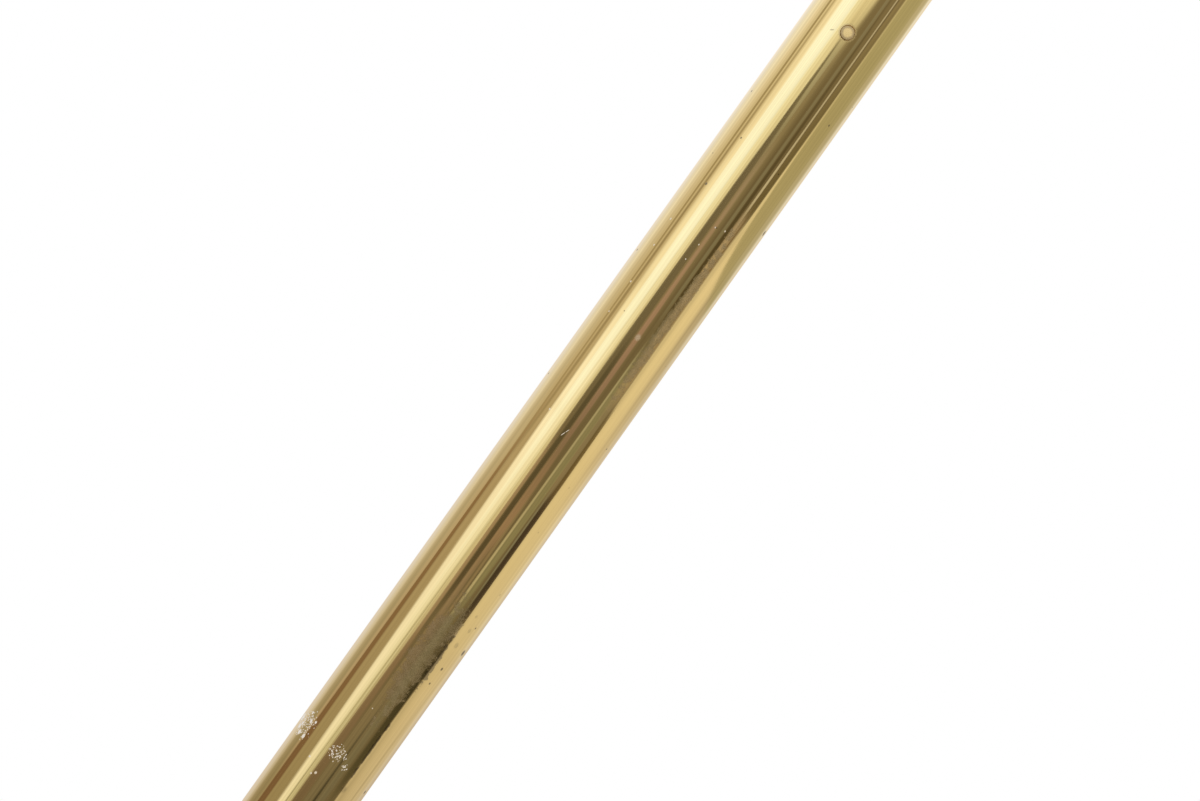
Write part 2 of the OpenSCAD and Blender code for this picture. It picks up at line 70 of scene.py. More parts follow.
# The view, in metres: the height and the sideways shift of its middle, how far off it is, its turn about the
# pole, half the height that the pole mirrors in it, and how far the pole leans in it
VIEW_Z = 0.5743
VIEW_X = 0.00277
VIEW_FAR = 0.7396
VIEW_TURN = math.radians(1.3)
VIEW_SPAN = 0.3363
LEAN = math.radians(35.49)


# Node helpers

class Tree:
    """A small wrapper that adds nodes to a material's or world's tree and links them."""

    def __init__(self, owner):
        owner.use_nodes = True
        self.tree = owner.node_tree
        self.tree.nodes.clear()

    def add(self, kind, inputs=None, **props):
        node = self.tree.nodes.new("ShaderNode" + kind)
        for key, value in props.items():
            setattr(node, key, value)
        for key, value in (inputs or {}).items():
            self.put(node.inputs[key], value)
        return node

    def put(self, socket, value):
        if isinstance(value, bpy.types.NodeSocket):
            self.tree.links.new(value, socket)
        else:
            socket.default_value = value

    def math(self, operation, a, b=0.0, c=0.0):
        node = self.add("Math", {0: a, 1: b, 2: c}, operation=operation)
        return node.outputs[0]

    def step(self, value, start, end, low=0.0, high=1.0):
        """Smooth change from low to high as value goes from start to end."""
        inputs = {0: value, 1: start, 2: end, 3: low, 4: high}
        return self.add("MapRange", inputs, interpolation_type="SMOOTHSTEP").outputs[0]

    def line(self, value, start, end, low, high):
        """Straight change from low to high as value goes from start to end, held beyond both."""
        return self.add("MapRange", {0: value, 1: start, 2: end, 3: low, 4: high}).outputs[0]

    def blend(self, factor, a, b):
        """Mix of two colours."""
        node = self.add("Mix", {0: factor, 6: a, 7: b}, data_type="RGBA")
        return node.outputs[2]

    def between(self, factor, a, b):
        """Mix of two numbers."""
        node = self.add("Mix", {0: factor, 2: a, 3: b}, data_type="FLOAT")
        return node.outputs[0]

    def noise(self, vector, scale, detail=3.0, roughness=0.55):
        inputs = {"Vector": vector, "Scale": scale, "Detail": detail, "Roughness": roughness}
        return self.add("TexNoise", inputs).outputs["Fac"]

    def cells(self, vector, scale):
        """Distance from the middle of scattered cells, in cell sizes, and a random number for each cell."""
        node = self.add("TexVoronoi", {"Vector": vector, "Scale": scale})
        picked = self.add("SeparateColor", {0: node.outputs["Color"]}).outputs[0]
        return node.outputs["Distance"], picked

    def specks(self, vector, scale, share, radius):
        """Scattered round specks: the share of cells that have one, and its radius in cell sizes."""
        far, picked = self.cells(vector, scale)
        chosen = self.math("LESS_THAN", picked, share)
        return self.math("MULTIPLY", chosen, self.step(far, radius, radius * 0.6))

    def most(self, masks):
        """The strongest of several masks."""
        total = masks[0]
        for mask in masks[1:]:
            total = self.math("MAXIMUM", total, mask)
        return total

    def patch(self, vector, centre, sizes, turn=0.0):
        """How far a point is from a patch's middle: 1 at its rim."""
        moved = self.add("VectorMath", {0: vector, 1: centre}, operation="SUBTRACT").outputs[0]
        turned = self.add("Mapping", {"Vector": moved, "Rotation": (0.0, turn, 0.0)}).outputs[0]
        scale = [1.0 / size for size in sizes]
        shaped = self.add("VectorMath", {0: turned, 1: scale}, operation="MULTIPLY").outputs[0]
        return self.add("VectorMath", {0: shaped}, operation="LENGTH").outputs["Value"]

    def place(self, scale=(1.0, 1.0, 1.0)):
        """The object's own coordinates, stretched."""
        here = self.add("TexCoord").outputs["Object"]
        return self.add("Mapping", {"Vector": here, "Scale": scale}).outputs["Vector"]

    def finish(self, surface):
        out = self.add("OutputMaterial")
        self.tree.links.new(surface, out.inputs["Surface"])


def material(name):
    """A new material and its tree."""
    mat = bpy.data.materials.new(name)
    return mat, Tree(mat)


# Studio: plain white to the camera; polished brass mirrors a ring of pale and dark cards

RING_R = 1.2
RING_TALL = 6.0
RING_MIDDLE = 1.0
FLOOR_R = 1.3

# Each card: left and right edges at its low and high ends, the span of height between those ends, the
# softness of its left edge, right edge, low end and high end, and its colour at both ends. Edges are in
# hundredths of the pole's radius, counted from its middle to where the pole mirrors them; heights are -1 to 1
# over the length in view. A low or high end of no softness runs on. An edge with a third number curves from
# its low end to its high end, over about that height. Later cards lie over earlier ones.
ALL = (-1.0, 1.0)
CARDS = [
    # left flat, paler towards the back and above, with a dimmer shoulder and a lighter upright below it
    ((-120, -120), (-55.5, -58.5), ALL, (1, 6, 0, 0), (0.41, 0.41, 0.37), (0.98, 1.05, 1.20)),
    ((-120, -120), (-88.5, -81), ALL, (1, 5, 0, 0), (0.83, 0.89, 1.05), (1.05, 1.20, 1.50)),
    ((-120, -120), (-96.5, -96.5), ALL, (1, 2, 0, 0), (0.86, 0.82, 0.76), (1.10, 1.12, 1.15)),
    ((-75.5, -75.5), (-70, -70), (-0.1, 1.0), (2, 1, 0.1, 0), (0.62, 0.62, 0.61), (0.82, 0.88, 0.94)),
    ((-76.5, -74.5), (-71, -69), (-0.95, -0.2), (1.5, 1, 0.05, 0.08), (0.54, 0.51, 0.51), (0.63, 0.63, 0.65)),
    # olive band beside the key light, with two thin dark lines above and a brown stripe below
    ((-69.5, -69.5), (-36.5, -46.5), (-1.0, -0.2), (1, 3, 0, 0.02), (0.40, 0.39, 0.33), (0.53, 0.51, 0.47)),
    ((-69.5, -69.5), (-46.5, -56.5), (-0.2, 1.0), (1, 3, 0.02, 0), (0.53, 0.51, 0.47), (0.88, 0.93, 0.95)),
    ((-70, -70), (-67, -67), (-0.2, 1.3), (0.8, 0.8, 0.1, 0), (0.46, 0.44, 0.38), (0.42, 0.41, 0.34)),
    ((-63.5, -63.5), (-59, -59.5), (-0.15, 0.45), (1, 1, 0.08, 0.01), (0.45, 0.43, 0.37), (0.43, 0.41, 0.35)),
    ((-63.5, -63), (-59.5, -60.5), (0.45, 1.1), (1, 1, 0.01, 0), (0.43, 0.41, 0.35), (0.80, 0.82, 0.80)),
    ((-72.5, -68), (-61.5, -64), (-1.0, -0.12), (1, 1.5, 0, 0.2), (0.25, 0.18, 0.14), (0.33, 0.26, 0.20)),
    # key light: a border, a warmer strip on its left, its main part, a dimmer edge and a line on its right
    ((-40, -40), (-11.5, -11.5), (0.0, 1.0), (3, 1.2, 0.15, 0), (1.05, 1.21, 1.40), (1.03, 1.19, 1.31)),
    ((-34.5, -38.5), (-11.5, -11.5), (-1.0, 0.0), (3, 1.2, 0, 0.15), (0.72, 0.81, 0.82), (1.05, 1.21, 1.40)),
    ((-39, -50.5), (-28.5, -34.5), (-1.0, -0.06), (3, 3, 0, 0.02), (1.12, 1.28, 1.56), (1.24, 1.42, 1.82)),
    ((-50, -53.5), (-34.5, -38.5), (-0.06, 0.25), (2.5, 3, 0.02, 0.02),
     (1.24, 1.42, 1.82), (1.12, 1.24, 1.42)),
    ((-53.5, -59.5), (-38.5, -38.5), (0.25, 1.0), (3, 3, 0.02, 0), (1.12, 1.24, 1.42), (1.09, 1.18, 1.32)),
    ((-40.5, -49.5), (-28, -24), (-0.06, 1.0), (2.5, 2, 0.03, 0), (1.25, 1.55, 2.12), (1.26, 1.61, 2.30)),
    ((-32, -40.5), (-29.5, -28), (-0.68, -0.06), (2, 3, 0.1, 0.03), (1.18, 1.36, 1.66), (1.25, 1.55, 2.12)),
    ((-33, -28), (-27, -21.5), (-1.0, 0.1), (3, 3, 0, 0.08), (1.08, 1.24, 1.46), (1.18, 1.37, 1.68)),
    ((-18, -18), (-11.5, -11.5), (-0.45, 1.0), (1.5, 1.2, 0.05, 0), (0.78, 0.84, 0.83), (1.00, 1.12, 1.18)),
    ((-18, -18), (-16, -11.5), (-1.0, -0.45), (1.5, 1.2, 0, 0.05), (0.42, 0.43, 0.39), (0.78, 0.84, 0.83)),
    ((-27, -18.5), (-24.5, -16), (-1.0, -0.25), (0.8, 0.8, 0, 0.05), (0.47, 0.52, 0.49), (0.74, 0.80, 0.79)),
    # dark side, a little lighter towards the key light, above and below
    ((-12.5, -11), (62, 57), ALL, (1.2, 1.2, 0, 0), (0.21, 0.20, 0.17), (0.19, 0.18, 0.15)),
    ((-1, -1), (15, 15), (-0.05, 1.1), (2, 6, 0.05, 0), (0.27, 0.26, 0.22), (0.34, 0.34, 0.30)),
    ((14, 14), (41, 41), (0.72, 1.0), (4, 1, 0.2, 0), (0.22, 0.21, 0.17), (0.26, 0.25, 0.21)),
    ((3, 3), (26.5, 26.5), (-1.0, -0.55), (1.5, 4, 0, 0.06), (0.23, 0.23, 0.21), (0.31, 0.29, 0.25)),
    ((17.5, 18), (23.5, 22.5), (-1.0, -0.74), (1.5, 1.5, 0, 0.04), (0.07, 0.07, 0.06), (0.19, 0.19, 0.17)),
    ((25.5, 25.5), (37.5, 37.5), (-1.0, -0.5), (1.5, 4, 0, 0.04), (0.22, 0.23, 0.22), (0.27, 0.28, 0.25)),
    # paler upper corner, and a dark upright that ends in a point below it
    ((-14.5, -14.5), (-11.5, -7.5), (0.52, 0.87), (0.8, 1.2, 0.04, 0.04),
     (0.92, 1.05, 1.12), (0.92, 1.04, 1.10)),
    ((-13, -13), (5, 12), (0.86, 1.15), (1.5, 5, 0.05, 0), (0.78, 0.85, 0.84), (1.00, 1.08, 1.06)),
    ((-2, -9), (3.5, 4.5), (0.60, 0.86), (1.5, 2, 0.04, 0.05), (0.40, 0.43, 0.42), (0.55, 0.62, 0.64)),
    ((-12.5, -14), (-2, 1), (-0.12, 0.10), (1, 1, 0.05, 0.03), (0.22, 0.21, 0.18), (0.20, 0.20, 0.18)),
    ((-14, -12.5), (1, 0), (0.10, 0.58), (1, 1, 0.03, 0.01), (0.20, 0.20, 0.18), (0.20, 0.20, 0.19)),
    ((-12.5, -7.5), (0, -5), (0.58, 0.87), (1.2, 1, 0.01, 0.01), (0.20, 0.20, 0.19), (0.22, 0.23, 0.20)),
    ((-4, -4), (5, 5.5), (-0.5, 0.12), (1.5, 1, 0.05, 0.05), (0.12, 0.11, 0.09), (0.13, 0.13, 0.11)),
    # red-brown edges
    ((-12, -12), (-5.5, -6), (-0.62, -0.13), (1, 1.5, 0.04, 0.03), (0.44, 0.39, 0.37), (0.44, 0.39, 0.38)),
    ((-16.5, -12.5), (0, -3), (-1.0, -0.6), (1, 2, 0, 0.04), (0.23, 0.20, 0.18), (0.32, 0.27, 0.25)),
    ((4.5, 5.5), (15, 14), (-0.62, -0.36), (1, 3, 0.03, 0.05), (0.29, 0.27, 0.25), (0.37, 0.32, 0.31)),
    ((6, 7), (21, 16.5), (-0.36, -0.12), (1, 2, 0.05, 0.02), (0.42, 0.34, 0.32), (0.31, 0.26, 0.25)),
    ((7, 4), (16, 13.5), (-0.12, 0.25), (1, 1.5, 0.02, 0.02), (0.30, 0.25, 0.26), (0.46, 0.37, 0.42)),
    ((4.5, 1.5), (12, 10), (0.25, 0.6), (1, 1.5, 0.02, 0.05), (0.46, 0.37, 0.41), (0.38, 0.38, 0.39)),
    ((18, 18), (23, 22.5), (-0.66, -0.25), (1, 1, 0.05, 0.05), (0.33, 0.30, 0.27), (0.31, 0.29, 0.25)),
    # olive strip with a thin bright line, and a thin light and a thin dark line above it
    ((26.5, 28), (39.5, 50.5), (-0.5, 0.12), (1.2, 2, 0.05, 0.04), (0.31, 0.34, 0.29), (0.31, 0.34, 0.29)),
    ((26, 29.5), (30.5, 32.5), (-0.5, 0.12), (0.8, 0.9, 0.04, 0.04), (0.56, 0.60, 0.58), (0.46, 0.50, 0.49)),
    ((23, 23), (28.5, 28.5), (0.22, 1.1), (1.3, 1.3, 0.06, 0), (0.25, 0.27, 0.26), (0.30, 0.32, 0.32)),
    ((30.5, 30), (38.5, 31.5), (0.22, 1.0), (1, 1.2, 0.05, 0), (0.09, 0.08, 0.05), (0.18, 0.17, 0.14)),
    # brown patch, and a thin line in the dark below it and above it
    ((38, 37), (53, 53), (0.0, 0.2), (1.2, 1, 0.03, 0.01), (0.32, 0.32, 0.29), (0.70, 0.65, 0.55)),
    ((37, 38.5), (53, 53.5), (0.2, 0.47), (1.2, 1, 0.01, 0.02), (0.70, 0.65, 0.55), (0.42, 0.39, 0.40)),
    ((48.5, 48.5), (52.5, 52.5), (0.02, 0.46), (1, 0.8, 0.03, 0.03), (0.46, 0.43, 0.38), (0.23, 0.19, 0.14)),
    ((43.5, 42.5), (52.5, 51), (-0.22, 0.0), (1.2, 1, 0.03, 0.02), (0.33, 0.31, 0.28), (0.29, 0.29, 0.27)),
    ((45, 45), (55, 56), (0.47, 1.2), (0.8, 1, 0.02, 0), (0.16, 0.15, 0.10), (0.36, 0.35, 0.30)),
    ((46, 46.5), (48.5, 49), (-0.48, -0.22), (0.8, 0.8, 0.06, 0.04), (0.27, 0.31, 0.33), (0.29, 0.33, 0.36)),
    ((40, 40), (44, 42.5), (0.48, 1.2), (0.7, 0.7, 0.03, 0), (0.64, 0.70, 0.80), (0.50, 0.54, 0.62)),
    # tan card on the right, duller at its outer edge, with a near-black edge below
    ((55.5, 55.5), (120, 120), (0.42, 1.0), (1.6, 1, 0.02, 0), (0.88, 0.92, 0.90), (0.68, 0.73, 0.68)),
    ((55, 53.5), (120, 120), (0.0, 0.42), (2.6, 1, 0.01, 0.02), (0.91, 0.94, 0.92), (0.95, 0.98, 0.96)),
    ((55, 53.5), (60.5, 60.5), (0.0, 0.45), (2.6, 4, 0.02, 0.02), (0.74, 0.76, 0.74), (0.74, 0.77, 0.76)),
    ((60.5, 57.5), (120, 120), (-0.6, 0.0), (1, 1, 0.03, 0.01), (0.82, 0.85, 0.84), (0.91, 0.94, 0.92)),
    ((54, 59.5), (120, 120), (-1.0, -0.6), (1.2, 1, 0, 0.03), (0.60, 0.61, 0.61), (0.76, 0.78, 0.77)),
    ((70, 70), (120, 120), (-1.0, -0.62), (8, 1, 0, 0.08), (0.70, 0.72, 0.74), (0.84, 0.86, 0.87)),
    ((80.5, 79.5), (120, 120), (-0.2, 0.34), (4.5, 1, 0.1, 0.02), (0.80, 0.82, 0.82), (0.55, 0.56, 0.56)),
    ((79.5, 86.5), (83, 90), (-0.97, -0.64), (1, 1, 0.03, 0.03), (0.60, 0.61, 0.61), (0.74, 0.76, 0.75)),
    ((52.5, 51.5), (60, 58.5), (-0.22, -0.03), (0.8, 0.8, 0.03, 0.02),
     (0.18, 0.15, 0.10), (0.20, 0.18, 0.12)),
    ((49.5, 50), (59.5, 59.5), (-0.52, -0.22), (0.8, 0.8, 0.03, 0.02),
     (0.08, 0.07, 0.07), (0.08, 0.07, 0.07)),
    ((41, 44.5), (52, 58), (-0.95, -0.6), (3.5, 1.2, 0.05, 0.04), (0.12, 0.12, 0.09), (0.05, 0.05, 0.04)),
    # olive card above the tan one, its lower left side a curve, and its paler rim
    ((82, 57.5, 0.1), (120, 120), (0.3, 1.0), (1, 1, 0, 0), (0.50, 0.53, 0.46), (0.50, 0.54, 0.46)),
    ((85, 84), (120, 120), (0.36, 1.0), (2.5, 1, 0.03, 0), (0.55, 0.59, 0.57), (0.60, 0.64, 0.62)),
    ((94, 94), (120, 120), (0.1, 1.0), (1.8, 1, 0.12, 0), (0.82, 0.88, 0.95), (0.96, 1.05, 1.18)),
    ((97, 97), (120, 120), ALL, (1.2, 1, 0, 0), (0.66, 0.58, 0.46), (0.97, 0.93, 0.80)),
]
# Where no card is, the ring is a plain grey, and its foot fades into the white floor between two heights
RING_GREY = (0.70, 0.71, 0.72, 1.0)
WHITE = (1.0, 1.0, 1.0, 1.0)
FOOT_FADE = (-1.12, -1.7)
# The ring is made in three parts, each with the cards that reach into it or close to it
PARTS = [(-120, -37), (-37, 22), (22, 120)]
CLOSE = 3


def studio_material(name, start, end):
    """The cards of one part of the ring, as light that only mirrors see."""
    mat, t = material(name)
    mat.cycles.emission_sampling = "NONE"
    xyz = t.add("SeparateXYZ", {0: t.add("TexCoord").outputs["Object"]})
    # A pole seen square on mirrors the turn round it at the sine of half that turn
    turn = t.math("ARCTAN2", xyz.outputs["X"], t.math("MULTIPLY", xyz.outputs["Y"], -1.0))
    turn = t.math("SUBTRACT", turn, VIEW_TURN)
    across = t.math("MULTIPLY", t.math("SINE", t.math("MULTIPLY", turn, 0.5)), 100.0)
    rise = t.math("DIVIDE", t.math("SUBTRACT", xyz.outputs["Z"], VIEW_Z), VIEW_SPAN)

    def edge(ends, span, share):
        """An edge's place at this height."""
        if len(ends) == 3:
            fall = t.math("EXPONENT", t.math("DIVIDE", t.math("SUBTRACT", span[0], rise), ends[2]))
            return t.math("MULTIPLY_ADD", fall, ends[0] - ends[1], ends[1])
        if ends[0] == ends[1]:
            return ends[0]
        return t.between(share, float(ends[0]), float(ends[1]))

    def ramp(value, middle, soft, low, high):
        """A soft change at an edge."""
        return t.step(value, t.math("SUBTRACT", middle, soft), t.math("ADD", middle, soft), low, high)

    shade = RING_GREY
    for left, right, span, soft, low, high in CARDS:
        if min(left[:2]) - soft[0] > end + CLOSE or max(right) + soft[1] < start - CLOSE:
            continue
        share = t.line(rise, span[0], span[1], 0.0, 1.0)
        mask = t.math("MULTIPLY", ramp(across, edge(left, span, share), soft[0], 0.0, 1.0),
                      ramp(across, edge(right, span, share), soft[1], 1.0, 0.0))
        if soft[2]:
            mask = t.math("MULTIPLY", mask, t.step(rise, span[0] - soft[2], span[0] + soft[2]))
        if soft[3]:
            mask = t.math("MULTIPLY", mask, t.step(rise, span[1] - soft[3], span[1] + soft[3], 1.0, 0.0))
        shade = t.blend(mask, shade, t.blend(share, (*low, 1.0), (*high, 1.0)))
    shade = t.blend(t.step(rise, *FOOT_FADE), shade, WHITE)
    # faint upright streaks
    spot = t.add("CombineXYZ", {0: across, 1: t.math("MULTIPLY", rise, 0.6)}).outputs[0]
    streak = t.math("ADD", t.noise(spot, 0.75, 2.0), t.noise(spot, 0.20, 1.0))
    streak = t.line(streak, 0.6, 1.4, 0.83, 1.17)
    t.finish(t.add("Emission", {"Color": shade, "Strength": streak}).outputs[0])
    return mat


bpy.ops.object.select_all(action="DESELECT")
bpy.ops.mesh.primitive_cylinder_add(
    vertices=256, radius=RING_R, depth=RING_TALL, end_fill_type="NOTHING", location=(0, 0, RING_MIDDLE))
bpy.ops.object.transform_apply(location=True, rotation=True, scale=True)
cards = bpy.context.active_object
cards.name = "studio_cards"
cards.visible_camera = False
cards.visible_diffuse = False
cards.visible_shadow = False
cards.visible_transmission = False
cards.visible_volume_scatter = False
for start, end in PARTS:
    cards.data.materials.append(studio_material("studio_cards_from_%d" % (start + 120), start, end))
for polygon in cards.data.polygons:
    x, y, z = polygon.center
    across = 100.0 * math.sin((math.atan2(x, -y) - VIEW_TURN) / 2)
    polygon.material_index = sum(across > end for start, end in PARTS[:-1])

# Floor that fades into the white
mat, t = material("studio_floor")
here = t.add("TexCoord").outputs["Object"]
far = t.add("VectorMath", {0: here}, operation="LENGTH").outputs["Value"]
diffuse = t.add("BsdfDiffuse", {"Color": (0.82, 0.82, 0.81, 1.0)}).outputs[0]
white = t.add("Emission", {"Color": WHITE, "Strength": 1.0}).outputs[0]
faded = t.add("MixShader", {0: t.step(far, 0.35, 1.25), 1: diffuse, 2: white}).outputs[0]
t.finish(faded)
bpy.ops.object.select_all(action="DESELECT")
bpy.ops.mesh.primitive_circle_add(vertices=128, radius=FLOOR_R, fill_type="NGON", location=(0, 0, 0))
floor = bpy.context.active_object
floor.name = "studio_floor"
floor.data.materials.append(mat)

# Plain grey light all round, which shows as white
world = bpy.data.worlds.new("studio")
bpy.context.scene.world = world
t = Tree(world)
path = t.add("LightPath")
seen = t.most([
    path.outputs["Is Camera Ray"], path.outputs["Is Glossy Ray"], path.outputs["Is Transmission Ray"]])
sky = t.blend(seen, (0.62, 0.62, 0.62, 1.0), WHITE)
out = t.add("OutputWorld")
t.tree.links.new(t.add("Background", {"Color": sky, "Strength": 1.0}).outputs[0], out.inputs["Surface"])


def soft_lamp(name, place, aim, size, power):
    """A round lamp that polished surfaces don't mirror."""
    light = bpy.data.lights.new(name, "AREA")
    light.shape = "DISK"
    light.size = size
    light.energy = power
    lamp = bpy.data.objects.new(name, light)
    bpy.context.scene.collection.objects.link(lamp)
    x, y, z = (b - a for a, b in zip(place, aim))
    flat = math.hypot(x, y)
    lamp.location = place
    lamp.rotation_euler = (math.atan2(flat, -z), 0.0, math.atan2(-x, y))
    lamp.visible_glossy = False


soft_lamp("key_lamp", (-1.6, -1.8, 2.6), (0, 0, 0.5), 1.6, 42.0)
soft_lamp("fill_lamp", (1.9, -1.0, 1.8), (0, 0, 0.5), 1.6, 18.0)


# Brass: its colours, and how fine the lines that drawing and the grain that casting leave are
BRASS = (0.80, 0.565, 0.235, 1.0)
CLOUDED = (0.75, 0.52, 0.205, 1.0)
SPECKED = (0.20, 0.13, 0.06, 1.0)
DULLED = (0.60, 0.415, 0.175, 1.0)
TARNISHED = (0.30, 0.185, 0.075, 1.0)
SCRATCHED = (0.86, 0.70, 0.42, 1.0)
NICKED = (0.72, 0.68, 0.63, 1.0)
LINE_SCALES = {"drawn": (900.0, 900.0, 6.0), "cast": (500.0, 500.0, 500.0)}


def brass(name, rough=0.09, lines="drawn", line_depth=0.05, marks=None):
    """Polished brass with faint working lines, clouding and small dark specks; marks adds a piece's wear and,
    round the button, painted shade.
    """
    mat, t = material(name)
    cloud = t.noise(t.place(), 9.0, 4.0)
    if lines == "turned":
        # rings about the pole's axis: fine across them, long round them
        xyz = t.add("SeparateXYZ", {0: t.add("TexCoord").outputs["Object"]})
        flat = t.add("CombineXYZ", {0: xyz.outputs["X"], 1: xyz.outputs["Y"]}).outputs[0]
        radius = t.add("VectorMath", {0: flat}, operation="LENGTH").outputs["Value"]
        turn = t.math("MULTIPLY", t.math("ARCTAN2", xyz.outputs["Y"], xyz.outputs["X"]), 0.002)
        spot = t.add("CombineXYZ", {0: radius, 1: xyz.outputs["Z"], 2: turn}).outputs[0]
        fine = t.noise(spot, 1400.0, 3.0, 0.6)
    else:
        fine = t.noise(t.place(LINE_SCALES[lines]), 1.0, 3.0, 0.6)
    colour = t.blend(t.step(cloud, 0.35, 0.75), BRASS, CLOUDED)
    colour = t.blend(t.specks(t.place(), 170.0, 0.35, 0.035), colour, SPECKED)
    roughness = t.line(cloud, 0.3, 0.8, rough * 0.85, rough * 1.3)
    roughness = t.math("ADD", roughness, t.line(fine, 0.3, 0.8, -0.015, 0.02))
    metal = 1.0
    if marks:
        colour, roughness, metal = marks(t, colour, roughness)
    bump = t.add("Bump", {"Strength": line_depth, "Distance": 0.0002, "Height": fine}).outputs[0]
    shader = t.add("BsdfPrincipled", {
        "Base Color": colour, "Metallic": metal, "Roughness": roughness, "Normal": bump,
        "Coat Weight": 0.15, "Coat Roughness": 0.08, "Coat IOR": 1.5,
    })
    t.finish(shader.outputs[0])
    return mat


def handled(t, colour, roughness):
    """Years of handling: tarnish left in the corners, dull clouds, fine scratches and a few pale nicks."""
    corner = t.add("AmbientOcclusion", {"Distance": 0.006}, samples=8, only_local=True).outputs["AO"]
    patchy = t.noise(t.place(), 60.0, 4.0, 0.65)
    corner = t.math("MULTIPLY", t.step(corner, 0.86, 0.42), t.line(patchy, 0.3, 0.7, 0.45, 0.95))
    clouds = t.math("MULTIPLY", t.step(t.noise(t.place(), 21.0, 5.0, 0.6), 0.52, 0.74), 0.55)
    colour = t.blend(clouds, colour, DULLED)
    colour = t.blend(corner, colour, TARNISHED)
    scratches = []
    for turn, scale in ((0.5, (260.0, 260.0, 9.0)), (-0.9, (300.0, 300.0, 12.0))):
        here = t.add("TexCoord").outputs["Object"]
        lean = (turn, turn * 0.6, 0.0)
        along = t.add("Mapping", {"Vector": here, "Rotation": lean, "Scale": scale}).outputs[0]
        scratches.append(t.step(t.noise(along, 1.0, 1.0), 0.735, 0.76))
    rubbed = t.step(t.noise(t.place(), 30.0, 2.0), 0.45, 0.6, 0.0, 0.8)
    scratch = t.math("MULTIPLY", t.most(scratches), rubbed)
    colour = t.blend(t.math("MULTIPLY", scratch, 0.35), colour, SCRATCHED)
    nicks = t.specks(t.place(), 95.0, 0.05, 0.05)
    colour = t.blend(t.math("MULTIPLY", nicks, 0.7), colour, NICKED)
    added = t.math("ADD", t.math("MULTIPLY", clouds, 0.10), t.math("MULTIPLY", corner, 0.22))
    roughness = t.math("ADD", roughness, t.math("ADD", added, t.math("MULTIPLY", scratch, 0.12)))
    return colour, roughness, 1.0


# Wear on the lower tube, in millimetres. Spots: across its front, up from the middle of the view, and radius
CHALK = [(-10.7, -112.2, 4.8), (0.3, -113.0, 3.1), (1.3, -112.6, 2.2), (4.1, -114.9, 1.3)]
CHALK_SPOTS = [
    (-10.8, -114.9, 0.8), (-9.3, -114.9, 0.7), (-11.7, -113.9, 0.8), (-9.9, -110.7, 0.6),
    (-12.3, -111.8, 1.2), (-10.8, -108.9, 0.5), (-8.7, -110.1, 0.45), (-11.4, -112.7, 0.6),
]
PALE_NICKS = [
    (-9.6, 48.8, 0.34), (-9.2, 40.8, 0.3), (-8.6, 29.6, 0.32), (-8.7, 20.1, 0.26), (1.1, 53.3, 0.24),
    (0.2, 47.3, 0.22), (-0.4, 42.3, 0.2), (3.7, 54, 0.28), (-6.5, -9.3, 0.28), (-1.2, -120.1, 0.42),
    (-4.9, -117.7, 0.3), (-2.1, -120.9, 0.28), (1.1, -98.2, 0.2),
]
DULL_NICKS = [(1.3, 18.8, 0.95)]
DARK_PITS = [
    (11.9, -74, 0.95), (9.8, -80.2, 0.5), (9.4, -85, 0.35), (11.5, -9.3, 0.3), (12.3, 60.1, 0.9),
    (-7.4, 61.3, 0.45), (9.7, 92.1, 0.35), (-11.8, 88.2, 0.35), (-6.9, 76.1, 0.3), (10.8, -66.7, 0.35),
    (12.1, -118.3, 0.6), (-12.1, 37.5, 0.4), (-12.2, -2, 0.35),
]
BROWN_STAINS = [
    (10.9, -56.0, 0.4), (9.2, -64.0, 0.5), (9.9, -68.0, 0.7), (9.6, -37.0, 0.3), (9.4, -23.0, 0.3),
    (9.3, -73.0, 0.9), (7.2, -119.8, 1.1),
]
# Strokes: across, up, half width, half length and lean
PALE_STROKES = [(0.0, -12.5, 0.12, 0.9, -0.34), (0.5, -11.2, 0.12, 0.8, -0.34)]
DARK_STROKES = [(-4.0, 112.1, 0.22, 0.75, -0.95)]
# Dull patches: across, up, half width and half length
TARNISH = [(3.8, -80.9, 3.6, 19.5), (6.4, -69.0, 1.6, 6.5), (5.5, 28.0, 1.6, 29.0)]
DARK_EDGES = [(7.5, -80.5, 0.75, 8.5), (7.0, -106.5, 0.4, 9.0)]
# Painted shade round the button's hole: its radius on the tube
HOLE_SHADE_R = 2.6


